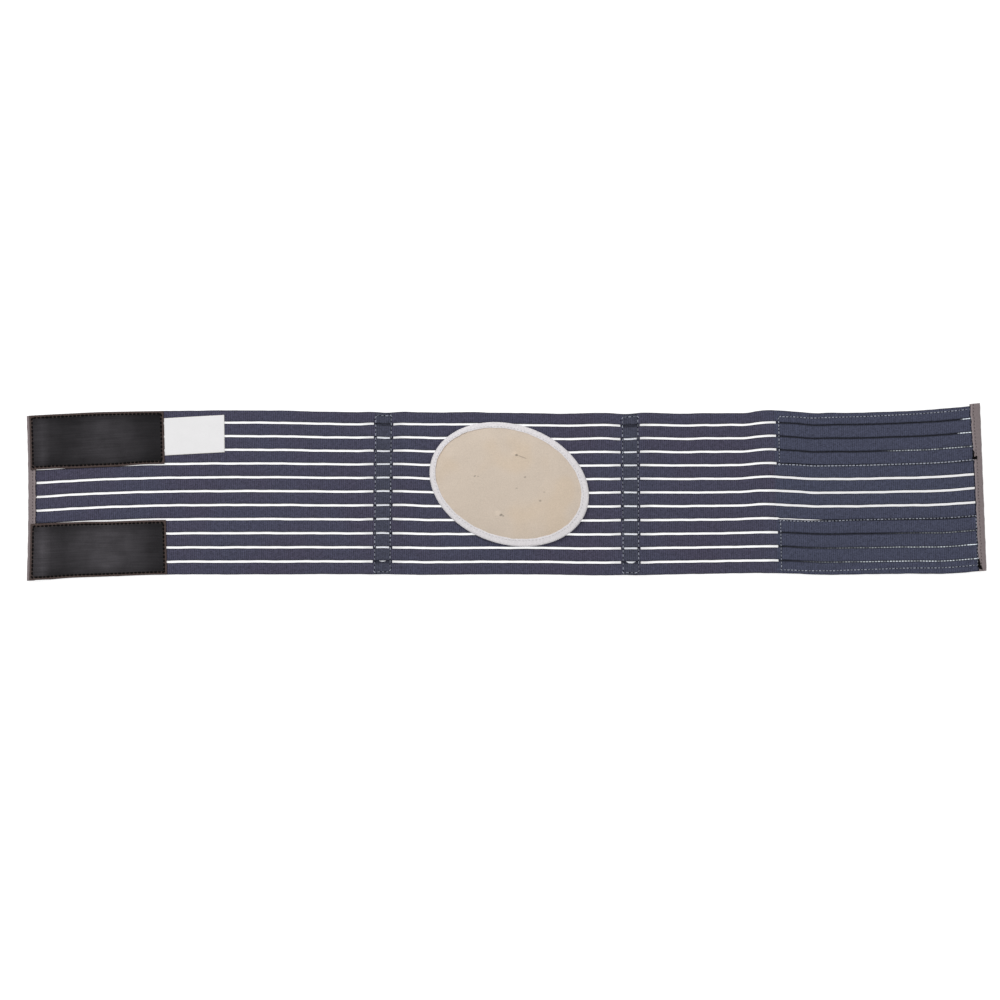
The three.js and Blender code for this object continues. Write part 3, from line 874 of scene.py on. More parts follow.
def hook_ground():
    """The woven ground of hook tape: nearly black and a little glossy, with faint streaks
    along the weave, broad patches of painted sheen, a brown raw border outside its stitches,
    and painted shade that darkens that border under and beside the stitches."""
    c = colours()
    material, tree, shader = new_material(
        "Nylon hook tape, woven ground", c.hook, Roughness=0.6, Specular_IOR_Level=0.1,
    )
    where, u, v = on_pattern(tree)
    middle = add_node(tree, "ShaderNodeVectorMath", (c.hook, hook_tone(tree, where, u, v)),
                      operation="MULTIPLY")
    streaks = add_node(tree, "ShaderNodeTexNoise", (where, 1 / 0.0012, 2.0))
    inset = add_node(tree, "ShaderNodeAttribute", attribute_name="inset").outputs["Fac"]
    colour = c.hook_edge
    # Painted shade: the border turns darker under and beside the stitches, where the seam sinks
    # in
    for near, far, inner in ((0.0014, 0.0022, times(c.hook_edge, 0.85)),
                             (0.0030, 0.0036, middle)):
        share = add_node(tree, "ShaderNodeMapRange", (inset, near, far), **EASED)
        colour = add_node(tree, "ShaderNodeMix", (share, colour, inner), **IN_COLOUR)
    weave = ribs_of(tree, u, 0.0008)
    dress(tree, shader, colour, add_up(tree, 0.0, (streaks, 1.0), (weave, 0.3)), 0.0001)
    return material


def hook_nylon():
    """Bent nylon wire: glossy and dark, so the hooks catch small glints."""
    c = colours()
    material, tree, shader = new_material(
        "Nylon monofilament, cut into hooks", c.hook, Roughness=0.5, Specular_IOR_Level=0.14,
    )
    place = add_node(tree, "ShaderNodeTexCoord").outputs["Object"]
    split = add_node(tree, "ShaderNodeSeparateXYZ", (place,))
    u = add_node(tree, "ShaderNodeMath", (split, cut().length / 2 - BELT_SHIFT[0]),
                 operation="ADD")
    # The hooks take the same painted sheen of broad light and dark patches as the tape
    tone = hook_tone(tree, place, u, split.outputs[1])
    toned = add_node(tree, "ShaderNodeVectorMath", (c.hook, tone), operation="MULTIPLY")
    tree.links.new(out_of(toned), shader.inputs["Base Color"])
    return material


def brushed_loops():
    """Brushed loop tape: a soft pile of tiny loops that lies in tufts and has a pale
    sheen at a low angle. In the closed gaps it glows in dotted painted glints, which stand in
    for light through its needle holes."""
    c = colours()
    material, tree, shader = new_material(
        "Nylon loop tape, brushed", c.loop, Roughness=0.95, Sheen_Weight=0.5,
        Sheen_Roughness=0.6, Specular_IOR_Level=0.15, Emission_Color=(0.86, 0.93, 1, 1),
    )
    where, u, v = on_pattern(tree)
    tufts, fibre, patchy = (
        add_node(tree, "ShaderNodeTexNoise", (where, 1 / grain, detail))
        for grain, detail in ((0.0022, 4.0), (0.0006, 4.0), (0.006, 2.0))
    )
    tone = add_up(tree, 0.35, (tufts, 0.7), (fibre, 0.6))
    pile = add_node(tree, "ShaderNodeVectorMath", (c.loop, tone), operation="SCALE")
    # Dots of painted glints along the closed gaps
    glint_dots = ribs_of(tree, u, 1.4 * trim().rib_pitch)
    glint_dots = add_node(tree, "ShaderNodeMapRange", (glint_dots, -0.6, 0.6, 0.2, 1.0), **EASED)
    patchy = add_node(tree, "ShaderNodeMapRange", (patchy, 0.3, 0.6, 0.25, 1.0), **EASED)
    dots = add_node(tree, "ShaderNodeMath", (glint_dots, patchy), operation="MULTIPLY")
    full = 0.0
    for row in GLINTS:
        beside = add_node(tree, "ShaderNodeMath", (v, row.v / 1000, GLINT_REACH),
                          operation="COMPARE")
        near = add_node(tree, "ShaderNodeMapRange", (
            u, row.start / 1000, row.full / 1000, 0.0, row.strength,
        ), **EASED)
        full = add_up(tree, full, (beside, near))
    dotted = add_node(tree, "ShaderNodeMath", (full, dots), operation="MULTIPLY")
    bare = add_node(tree, "ShaderNodeMath", (full, 1.0), operation="SUBTRACT")
    lit = add_node(tree, "ShaderNodeMath", (dotted, bare), operation="MAXIMUM")
    face = add_node(tree, "ShaderNodeAttribute", attribute_name="face").outputs["Fac"]
    lit = add_node(tree, "ShaderNodeMath", (lit, face), operation="MULTIPLY", use_clamp=True)
    # Painted glints: the tape's upper side glows in the closed gaps
    tree.links.new(out_of(lit), shader.inputs["Emission Strength"])
    dress(tree, shader, pile, add_up(tree, 0.0, (tufts, 1.0), (fibre, 0.7)), 0.0004)
    return material


def stay_plastic():
    """Sheared strip of bluish white plastic: smooth, faintly cloudy, scuffed lengthwise, with
    a painted glow that stands in for the light that it lets through from the pale floor."""
    c = colours()
    # The emission is a painted glow, standing in for light let through from the floor
    material, tree, shader = new_material(
        "Polypropylene strip, sheared", c.stay, Roughness=0.35, Specular_IOR_Level=0.5,
        Emission_Color=(*c.stay, 1), Emission_Strength=0.3,
    )
    place = add_node(tree, "ShaderNodeTexCoord").outputs["Object"]
    drawn = add_node(tree, "ShaderNodeMapping", {"Vector": place, "Scale": (1.0, 0.04, 1.0)})
    scuffs = add_node(tree, "ShaderNodeTexNoise", (drawn, 1 / 0.0007, 3.0))
    cloud = add_node(tree, "ShaderNodeTexNoise", (place, 1 / 0.02, 2.0))
    cloud = add_node(tree, "ShaderNodeMapRange", (cloud, 0.3, 0.7), **EASED)
    colour = add_node(tree, "ShaderNodeMix", (cloud, times(c.stay, 0.86), c.stay), **IN_COLOUR)
    rough = add_node(tree, "ShaderNodeMapRange", (scuffs, 0.35, 0.7, 0.28, 0.5), **EASED)
    tree.links.new(out_of(rough), shader.inputs["Roughness"])
    dress(tree, shader, colour, scuffs, 0.00003)
    return material


def label_satin():
    """Woven satin: very fine floats along the label, a soft shine, and cut edges that are
    sealed a little yellower."""
    c = colours()
    material, tree, shader = new_material(
        "Polyester satin, woven and heat cut", c.label, Roughness=0.5, Sheen_Weight=0.2,
        Specular_IOR_Level=0.4,
    )
    where = on_pattern(tree)[0]
    floats = add_node(tree, "ShaderNodeMapping", {"Vector": where, "Scale": (0.15, 1.0, 1.0)})
    satin = add_node(tree, "ShaderNodeTexNoise", (floats, 1 / 0.0005, 2.0))
    cloud = add_node(tree, "ShaderNodeTexNoise", (where, 1 / 0.012, 2.0))
    tone = add_up(tree, 0.935, (satin, 0.08), (cloud, 0.05))
    plain = add_node(tree, "ShaderNodeVectorMath", (c.label, tone), operation="SCALE")
    inset = add_node(tree, "ShaderNodeAttribute", attribute_name="inset").outputs["Fac"]
    inner = add_node(tree, "ShaderNodeMapRange", (inset, 0.0001, 0.0006), **EASED)
    sealed = times(c.label, 0.86, 0.84, 0.8)
    colour = add_node(tree, "ShaderNodeMix", (inner, sealed, plain), **IN_COLOUR)
    dress(tree, shader, colour, satin, 0.00005)
    return material


# Lint and pulled yarns on the pad: where each lies, its half length and half width in
# metres, how far it is turned, and how dark it is
Fleck = namedtuple("Fleck", "x y long wide turn dark")
FLECKS = [Fleck(*row) for row in (
    (0.0070, 0.0372, 0.0030, 0.0020, 0.4, -0.12), (-0.0083, -0.0205, 0.0030, 0.0028, 0.6, -0.14),
    (-0.0306, 0.0152, 0.0012, 0.0007, 0.5, 0.55), (-0.0275, 0.0150, 0.0008, 0.0006, 0.0, 0.4),
    (0.0097, 0.0355, 0.0014, 0.0010, 0.0, 0.7), (0.0152, 0.0336, 0.0050, 0.0005, -0.36, 0.45),
    (0.0179, 0.0142, 0.0012, 0.0008, 0.3, 0.5), (0.0097, 0.0035, 0.0012, 0.0007, 0.0, 0.3),
    (0.0325, -0.0087, 0.0013, 0.0009, 0.0, 0.5), (0.0364, -0.0003, 0.0012, 0.0007, 0.0, 0.3),
    (-0.0053, -0.0223, 0.0016, 0.0010, 0.4, 0.7), (-0.0033, -0.0232, 0.0010, 0.0008, 0.0, 0.5),
)]


def brushed_knit():
    """Brushed knit over foam: a warm beige nap with fine stitches under it, soft clouds
    of wear and a few flecks of lint."""
    c = colours()
    material, tree, shader = new_material(
        "Cotton knit, brushed over foam", c.pad, Roughness=0.92, Sheen_Weight=0.25,
        Sheen_Roughness=0.5, Specular_IOR_Level=0.2,
    )
    place = add_node(tree, "ShaderNodeTexCoord").outputs["Object"]
    nap_and_sheen, cloud, wear = (
        add_node(tree, "ShaderNodeTexNoise", (place, 1 / grain, detail))
        for grain, detail in ((0.0011, 4.0), (0.022, 3.0), (0.035, 1.0))
    )
    tone = add_up(tree, 0.78, (nap_and_sheen, 0.3), (cloud, 0.14))
    for fleck in FLECKS:
        near = add_node(tree, "ShaderNodeMapping", (
            place, (fleck.x, fleck.y, 0), (0, 0, fleck.turn), (fleck.long, fleck.wide, 100),
        ), vector_type="TEXTURE")
        far = add_node(tree, "ShaderNodeVectorMath", (near,), operation="LENGTH")
        shade = add_node(tree, "ShaderNodeMapRange", (
            far, 0.5, 1.4, 1 - 0.75 * fleck.dark, 1.0,
        ), **EASED)
        tone = add_node(tree, "ShaderNodeMath", (tone, shade), operation="MULTIPLY")
    worn = add_node(tree, "ShaderNodeMapRange", (wear, 0.5, 0.72), **EASED)
    base = add_node(tree, "ShaderNodeMix", (worn, c.pad, times(c.pad, 1.01, 0.98, 0.93)),
                    **IN_COLOUR)
    toned = add_node(tree, "ShaderNodeVectorMath", (base, tone), operation="SCALE")
    dress(tree, shader, toned, add_up(tree, 0.0, (nap_and_sheen, 1.0), (cloud, 2.0)), 0.0003)
    return material


def thread_of(name, dark, light, roughness=0.6, shine=0.3):
    """Twisted sewing thread: each stitch has a shade of its own between dark and light,
    with a twist line across it."""
    material, tree, shader = new_material(name, dark, Roughness=roughness,
                                          Specular_IOR_Level=shine)
    place = add_node(tree, "ShaderNodeTexCoord").outputs["Object"]
    twist = add_node(tree, "ShaderNodeTexNoise", (place, 1 / 0.0004, 2.0))
    shade = add_node(tree, "ShaderNodeAttribute", attribute_name="shade").outputs["Fac"]
    shade = add_node(tree, "ShaderNodeMapRange", (shade, 0.25, 0.75), **EASED)
    both = add_node(tree, "ShaderNodeMix", (shade, dark, light), **IN_COLOUR)
    tone = add_node(tree, "ShaderNodeMapRange", (twist, 0.35, 0.65, 0.6, 1.0), **EASED)
    toned = add_node(tree, "ShaderNodeVectorMath", (both, tone), operation="SCALE")
    dress(tree, shader, toned, twist, 0.00008)
    return material


# Across a band: where its rows of points lie, and how thick it is there, as shares of half
# its width and of its thickness
BAND_ROWS = np.array([-1, -0.87, -0.45, 0.45, 0.87, 1])
BAND_FULL = np.array([0.3, 0.84, 1, 1, 0.84, 0.3])
FRAY = 0.00008           # how far a band's own edge yarns wander
FOLD_SLACK = 0.0004      # from the fold of an end tape to the elastic's raw end
RAW_END = 0.0055         # how far the bands are joined at that end


class BELT_OT_elastic(Operator):
    """Weave the twelve bands of elastic, in three pieces of four"""

    bl_idname = "belt.elastic"
    bl_label = "Elastic bands"

    def execute(self, context):
        c, t = cut(), trim()
        material = ribbed_elastic()
        start, end = fold_depth() + FOLD_SLACK, c.length - fold_depth() - FOLD_SLACK
        u = np.arange(start, end, t.rib_pitch / 3)
        each = c.bands // 3
        for group, name in enumerate(("lower", "middle", "upper")):
            first, past = group * each, (group + 1) * each
            skins = [self.band(band, u) for band in range(first, past)]
            skins += [self.raw_end(first, past, begin)
                      for begin in (start, c.length - c.tape_width + 0.0002)]
            piece = new_piece(f"elastic_{name}_bands", skins, material)
            grow(piece, tree_named("Ribs", rib_tree), {
                "Pitch": t.rib_pitch, "Height": t.rib_height, "Material": material,
            })
            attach(piece, "root")
            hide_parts("elastic_panel")
        return {"FINISHED"}

    def edge(self, gap, side, u):
        """The edge of the band above a gap where side is 1, or below it where it is -1."""
        inner = 0 < gap < cut().bands
        return waver(gap, u) + gap_centre(gap) + inner * side * opening(gap, u) / 2

    def band(self, band, u):
        """One band, its edges thinner than its middle."""
        c, seed = cut(), trim().seed
        low = self.edge(band, 1, u) + FRAY * ripple(u, 0.021, seed + band)
        high = self.edge(band + 1, -1, u) + FRAY * ripple(u, 0.023, seed + 40 + band)
        middle, half = ((low + high) / 2)[:, None], ((high - low) / 2)[:, None]
        lines = middle + BAND_ROWS * half
        centre, thick = (elastic_under(u) + c.elastic / 2)[:, None], BAND_FULL * c.elastic / 2
        height = np.concatenate((centre + thick, (centre - thick)[:, ::-1]), axis=1)
        along, inset, relief = (
            out_and_back(np.broadcast_to(values, lines.shape))
            for values in (u[:, None], (1 - abs(BAND_ROWS)) * half, (BAND_FULL > 0.5) * 1.0)
        )
        return skin(along, out_and_back(lines), height, inset=inset, relief=relief, along=along)

    def raw_end(self, first, past, begin):
        """The solid strip that joins the bands under an end tape."""
        strip = cloth([begin, begin + RAW_END], [gap_centre(first), gap_centre(past)],
                      lambda u, v: elastic_under(u) + 0.0003, cut().elastic - 0.0006)
        strip[2].update(relief=np.zeros(len(strip[0])), along=strip[2]["u"])
        strip[2].pop("face")
        return strip


# How far the right binding reaches in, in millimetres, from the lower edge to the upper
RIGHT_REACH = [(-78.5, 7.6), (7.0, 8.0), (80.5, 9.9)]

# Two tangled thread ends on the right binding, each in two tufts: where a tuft lies, and how
# far it spreads along and across
Knot = namedtuple("Knot", "u v wide tall")
KNOTS = [Knot(*row) for row in (
    (0.9194, 0.0284, 0.0024, 0.0014), (0.9182, 0.0322, 0.0005, 0.0032),
    (0.9198, -0.0705, 0.0006, 0.0048), (0.9206, -0.0748, 0.0015, 0.0016),
)]
KNOT_TURNS = 9


def black_thread():
    name, dark = "Black polyester thread, twisted", colours().black_thread
    return material_named(name, thread_of, name, dark, times(dark, 1.6), shine=0.05)


class BELT_OT_bindings(Operator):
    """Fold the tapes over both ends of the belt and sew them down"""

    bl_idname = "belt.bindings"
    bl_label = "End bindings"

    def execute(self, context):
        c, t = cut(), trim()
        tape = woven_tape("Nylon binding tape, plain woven", colours().tape, 0.0011,
                          light_edge=0.35, contrast=0.3)
        inner_rows, tape_rows = [], []
        for name, fold, inward, lift, over, below in (
            ("left", 0, 1, fold_depth(), 0, c.left_over),
            ("right", c.length, -1, fold_depth() + loop_lift(), c.right_over, 0),
        ):
            high = lift + c.elastic + c.clearance + c.tape_thick
            inset, height, deep = folded_ring(c.tape_width, high, 0, c.tape_thick)
            v = np.arange(-half_width() - below, half_width() + over, 0.0008)
            v = np.append(v, half_width() + over)
            reach = np.full_like(v, c.tape_width)
            if inward < 0:
                reach = eased(v, *np.array(RIGHT_REACH).T / 1000)
            seed = t.seed + len(f"{name}_end_tape")
            pull, sway = 0.0003 * ripple(v, 0.013, seed), 0.0002 * ripple(v, 0.019, seed + 5)
            inner = smooth(inset, 0.004, c.tape_width)
            away = inset * (reach / c.tape_width)[:, None] + pull[:, None] * inner
            u = fold + inward * (away + sway[:, None])
            h = height + 0.0001 * np.sin(2 * np.pi * v / t.fine_stitch)[:, None] * (
                inner * (height > high / 2))
            half = (v[-1] - v[0]) / 2
            squeeze = 1 - 0.3 * smooth(abs(v - v.mean()), half - 0.0015, half)[:, None]
            h = high / 2 + (h - high / 2) * squeeze
            across = np.broadcast_to(v[:, None], h.shape)
            piece = new_piece(f"{name}_end_tape", [skin(u, across, h, inset=deep)], tape)
            finish_piece(piece, f"{name}_end_binding")
            sewn = slice(2, -2)
            edge = fold + inward * (reach + pull + sway)[sewn]
            for rows, off, up in ((inner_rows, 0.0006, elastic_top(edge)),
                                  (tape_rows, -0.0026, high - 0.0001)):
                x, y = laid(edge + inward * off, v[sewn])
                rows.append((list(zip(x, y, up + np.zeros_like(x))), False))
        brown = thread_of("Brown polyester thread, twisted", linear("#2f2829"),
                          linear("#5d5354"), shine=0.1)
        sew("end_tape_stitches", tape_rows, brown, 0.0031, 0.0017, 0.0002, 0.0003)
        sew("end_tape_edge_stitches", inner_rows, black_thread(), 0.0031, 0.0022, 0.0003,
            0.00032)
        self.knot(high)
        return {"FINISHED"}

    def knot(self, height):
        """The tangled thread ends, where the rows of stitches end on the right binding."""
        rng = np.random.default_rng(trim().seed)
        tangles = []
        for knot in KNOTS:
            across, along = rng.uniform(-1, 1, (2, KNOT_TURNS))
            x, y = laid(knot.u + knot.wide * across, knot.v + knot.tall * along)
            tangles.append((list(zip(x, y, np.full(KNOT_TURNS, height + 0.0002))), False))
        sew("thread_knots", tangles, black_thread(), 0.0006, 0.0012, 0.0002, 0.0005)


HOOK_GROUND = 0.0008     # thickness of the hook tape's flat border, which its stitches lie on
HOOK_MIDDLE = 0.0002     # how much more its middle has
HOOK_TALL = 0.00055
HOOK_SEAM = 0.00025      # how deep its stitches pull it in


class BELT_OT_hook_patches(Operator):
    """Make the hook tape patches, with their hooks and black stitches"""

    bl_idname = "belt.hook_patches"
    bl_label = "Hook patches"

    def execute(self, context):
        c, t = cut(), trim()
        ground, wire = hook_ground(), hook_nylon()
        start, end, seam = c.hook_inset, c.hook_inset + c.hook_length, t.stitch_inset
        rng = np.random.default_rng(t.seed)
        rows = []
        for name, side, width in (("upper", 1, c.upper_hook), ("lower", -1, c.lower_hook)):
            low, high = sorted((side * half_width(), side * (half_width() - width)))
            place = fitted(HOOK_EDGES, side, low, high)

            def depth(u, v):
                inset = depth_in(u, v, start, end, low, high)
                full = HOOK_GROUND + HOOK_MIDDLE * smooth(inset, seam, seam + 0.001)
                return full - HOOK_SEAM * (1 - smooth(abs(inset - seam), 0, 0.0006))

            def under(u, v):
                wave = 0.00009 * ripple(u, 0.034, t.seed + side) * ripple(v, 0.031, t.seed)
                return hook_under(u) + wave

            sheet = cloth(seam_lines(start, end, 110), seam_lines(low, high, 42), under, depth,
                          0.0004, place=place)
            patch = new_piece(f"{name}_hook_tape", [sheet], ground)
            finish_piece(patch, f"{name}_hook_patch")
            inside = seam + 0.0011
            places = np.arange(start + inside, end - inside, t.hook_pitch)
            lines = np.arange(low + inside, high - inside, t.hook_pitch * 1.2)
            pu, pv = (grid.ravel() for grid in np.meshgrid(places, lines, indexing="ij"))
            turn = np.where(np.arange(len(pu)) % len(lines) % 2, 0, math.pi)
            pu = pu + rng.uniform(-0.00015, 0.00015, len(pu))
            pv = pv + rng.uniform(-0.0001, 0.0001, len(pv))
            x, y = place(pu, pv)
            mesh = bpy.data.meshes.new(f"{name}_hooks")
            mesh.from_pydata(list(zip(x, y, under(pu, pv) + depth(pu, pv))), [], [])
            mesh.attributes.new("turn", "FLOAT", "POINT").data.foreach_set("value", turn)
            hooks = add_object(f"{name}_hooks", mesh)
            grow(hooks, tree_named("Hooks", hook_tree), {
                "Height": HOOK_TALL, "Wire": t.hook_wire, "Seed": t.seed, "Material": wire,
            })
            hooks.data.shade_smooth()
            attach(hooks, "root")
            rows.append(box_path(lambda u: hook_under(u) + HOOK_GROUND - 0.00015, start + seam,
                                 end - seam, low + seam, high - seam, place))
        thread = black_thread()
        below = [(self.below(path), True) for path, _ in rows]
        sew("hook_tape_stitches", rows, thread, t.stitch, t.stitch * 0.58, 0.00055, 0.0009)
        sew("hook_tape_stitches_below", below, thread, t.stitch, t.stitch * 0.72, -0.0003,
            t.thread)
        return {"FINISHED"}

    def below(self, path):
        """The same row on the underside of the elastic."""
        x, y, _ = np.array(path).T
        u = np.clip(x - BELT_SHIFT[0] + cut().length / 2, 0, cut().length)
        return list(zip(x, y, elastic_under(u)))


def lockstitch(name, top, below, pitch, thick=1.7, bright=0.55):
    """Rows in which pale stitches alternate with short dark dashes between them, painted
    shade of the needle holes, and the stitches on the underside."""
    t, dark, pale = trim(), colours().hole_shade_colour, colours().grey_thread
    twist = f"Grey polyester thread, twisted, {name.replace('_', ' ')}"
    light = thread_of(twist, times(pale, bright), pale)
    hole_shade_name = "Navy polyester thread, twisted"
    # Near-black thread that stands in for the shade of the needle holes
    hole_shade = material_named(hole_shade_name, thread_of, hole_shade_name, times(dark, 0.2), times(dark, 0.6),
                            shine=0.05)
    sew(f"{name}_stitches", top, light, pitch, pitch * 0.6, 0.0004, t.thread * thick)
    # Dark dashes half a stitch along: painted shade of the needle holes
    sew(f"{name}_needle_hole_shade", top, hole_shade, pitch, pitch * 0.42, 0.0002, t.thread * 1.5,
        pitch / 2)
    sew(f"{name}_stitches_below", below, light, pitch, pitch * 0.66, -0.0003, t.thread)


LOOP_SEAM = 0.00055      # how much thinner the loop tape is under its stitches
LOOP_TUCK = 0.00045      # how far they pull it up
LOOP_END = 0.0045        # from the end tape's fold to the stitches beside it
LOOP_NEAR = 0.0013       # from the tape's inner edge to its stitches


class BELT_OT_loop_patches(Operator):
    """Make the loop tape patches on the underside"""

    bl_idname = "belt.loop_patches"
    bl_label = "Loop patches"

    def execute(self, context):
        c, t = cut(), trim()
        pile = brushed_loops()
        start, end, seam = loop_start(), c.length - fold_depth(), t.stitch_inset
        rows = []
        for name, side in (("upper", 1), ("lower", -1)):
            outer = half_width() - c.loop_inset
            low, high = sorted((side * outer, side * (outer - c.loop_width)))
            place = fitted(LOOP_EDGES, side, low, high)

            def tuck(u, v):
                inset = depth_in(u, v, start, end, low, high)
                return 1 - smooth(abs(inset - seam), 0, 0.0009)

            def under(u, v):
                lumps = 0.00012 * ripple(u + 0.3 * v, 0.0061, t.seed) * ripple(
                    v - 0.2 * u, 0.0053, t.seed + 5)
                return elastic_under(u) - loop_lift() + LOOP_TUCK * tuck(u, v) + abs(lumps)

            sheet = cloth(np.linspace(start, end, 180), seam_lines(low, high, 46), under,
                          lambda u, v: c.loop_thick - LOOP_SEAM * tuck(u, v), 0.0005,
                          place=place)
            patch = new_piece(f"{name}_loop_tape", [sheet], pile)
            finish_piece(patch, f"{name}_loop_patch")
            from_low, from_high = (LOOP_NEAR, seam) if side > 0 else (seam, LOOP_NEAR)
            rows.append((start + seam, end - seam - LOOP_END, low + from_low,
                         high - from_high, place))

        def below(u):
            return elastic_under(u) - loop_lift() + 0.0004

        start, end, low, high, place = rows[0]
        rim = ((start, low), (start, high), (end, high), (end, low))
        edge, inner = [], []
        for height in (elastic_top, below):
            edge.append([(path_on(height, *rim, place=place), False),
                         box_path(height, *rows[1])])
            inner.append([(path_on(height, rim[0], rim[-1], place=place), False)])
        lockstitch("loop_tape", *edge, t.fine_stitch, 2.0, 0.7)
        lockstitch("loop_tape_seam", *inner, t.fine_stitch, 2.8, 1.0)
        return {"FINISHED"}


# How far the left and the right stay have slipped down in their casings
STAY_SLIPS = (0.0005, 0.0012)
CASING_END = 0.0024      # from a casing's end to its seam


class BELT_OT_casings(Operator):
    """Drape the casings over their stays and sew them on"""

    bl_idname = "belt.casings"
    bl_label = "Stays and casings"

    def execute(self, context):
        c, t = cut(), trim()
        tape = woven_tape("Nylon tape, twill woven", colours().casing, 0.0013, contrast=0.12)
        plastic = stay_plastic()
        high = half_width() - c.casing_inset
        top_rows, below_rows = [], []
        for name, centre, slipped in zip(("left", "right"), casing_centres(), STAY_SLIPS):
            straight = (c.stay_length + slipped) / 2 - c.stay_width / 2

            def lifted(u, v):
                past = np.maximum(abs(v + c.stay_low + slipped / 2) - straight, 0)
                beyond = np.hypot(u - centre, past) - c.stay_width / 2
                return (c.clearance + c.stay_thick) * smooth(beyond, -0.0001, 0.0014)

            half = c.casing_width / 2
            u = np.linspace(centre - half, centre + half, 40)
            v = np.linspace(-high, high, 170)
            casing = new_piece(f"{name}_casing_tape",
                               [cloth(u, v, lifted, c.casing_thick)], tape)
            finish_piece(casing, f"{name}_stay_casing")
            strip = self.strip(name, slipped, plastic)
            seam, end = c.seam_spacing / 2, high - CASING_END
            row = (centre - seam, centre + seam, -end - 0.0008, end)
            top_rows.append(box_path(elastic_top, *row))
            below_rows.append(box_path(lambda u: c.clearance + c.stay_thick, *row))
        lockstitch("casing", top_rows, below_rows, t.long_stitch)
        return {"FINISHED"}

    def strip(self, name, slipped, plastic):
        """A stay, a little longer at its lower end than its solid, as it has slipped down
        in its casing."""
        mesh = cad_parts[f"{name}_stay"].data.copy()
        shape = bmesh.new()
        shape.from_mesh(mesh)
        bmesh.ops.remove_doubles(shape, verts=shape.verts, dist=1e-6)
        for point in shape.verts:
            if point.co.y < 0:
                point.co.y -= slipped
        shape.to_mesh(mesh)
        shape.free()
        mesh.materials.clear()
        mesh.materials.append(plastic)
        strip = add_object(f"{name}_stay_strip", mesh)
        return finish_piece(strip, f"{name}_stay")


class BELT_OT_label(Operator):
    """Lay the bare satin label beside the upper hook patch"""

    bl_idname = "belt.label"
    bl_label = "Label"

    def execute(self, context):
        c = cut()
        start = c.hook_inset + c.hook_length + c.clearance
        top = half_width() - c.label_inset

        def under(u, v):
            wave = ripple(u, 0.037, 3) * 0.5 + ripple(v + 0.3 * u, 0.029, 4) * 0.5
            free = smooth(u, start, start + 0.02)
            return elastic_top(u) + c.clearance + 0.00022 * (1 + wave) * free

        u = np.linspace(start, start + c.label_length, 44)
        v = np.linspace(top - c.label_height, top, 30)
        sheet = cloth(u, v, under, 0.0004, 0.00015, skew=0.046)
        piece = new_piece("satin_label", [sheet], label_satin())
        finish_piece(piece, "sewn_label")
        return {"FINISHED"}


def on_pad(x, y):
    """The pad's own x and y, turned and moved to where it lies."""
    c = cut()
    cos, sin = math.cos(c.pad_turn), math.sin(c.pad_turn)
    return (x * cos - y * sin + c.pad_x + BELT_SHIFT[0],
            x * sin + y * cos + c.pad_y + BELT_SHIFT[1])


def pad_bottom():
    return cut().elastic + cut().clearance


# The pad's section from its middle out: the share of its reach, and how high its top and its
# underside lie there, as shares of its crown
PadRow = namedtuple("PadRow", "out top under")
PAD_ROWS = [PadRow(*row) for row in (
    (0.02, 0.90, 0.0), (0.2, 0.895, 0.0), (0.4, 0.87, 0.0), (0.6, 0.81, 0.0),
    (0.74, 0.715, 0.0), (0.84, 0.58, 0.02), (0.91, 0.43, 0.1), (0.96, 0.36, 0.12),
    (1.0, 0.33, 0.14),
)]
PAD_INSET = 0.0013       # how far inside its solid the cushion starts, as it swells
SWELL_FRAMES = 20


def inflate(piece, voxel, pressure, reach, held):
    """Swells a closed shape as stuffed cloth: points that held picks stay, and none moves
    further than reach."""
    net = piece.modifiers.new("Net", "REMESH")
    net.mode = "VOXEL"
    net.voxel_size = voxel
    mesh = evaluated(piece)
    piece.modifiers.remove(net)
    piece.data = mesh
    start = np.array([v.co for v in mesh.vertices])
    group = piece.vertex_groups.new(name="held")
    group.add([int(i) for i in np.nonzero(held(start))[0]], 1.0, "REPLACE")
    cover = piece.modifiers.new("Cover", "CLOTH")
    for setting, value in (
        ("use_pressure", True), ("uniform_pressure_force", pressure),
        ("vertex_group_mass", "held"), ("tension_stiffness", 25),
        ("compression_stiffness", 25), ("bending_stiffness", 4),
    ):
        setattr(cover.settings, setting, value)
    cover.settings.effector_weights.gravity = 0
    cover.point_cache.frame_start, cover.point_cache.frame_end = 1, SWELL_FRAMES
    for number in range(1, SWELL_FRAMES + 1):
        bpy.context.scene.frame_set(number)
    graph = bpy.context.evaluated_depsgraph_get()
    moved = np.array([v.co for v in piece.evaluated_get(graph).data.vertices])
    step = moved - start
    far = np.linalg.norm(step, axis=1, keepdims=True)
    start = start + step * np.minimum(1, reach / np.maximum(far, 1e-9))
    piece.modifiers.remove(cover)
    bpy.context.scene.frame_set(1)
    piece.vertex_groups.clear()
    return start


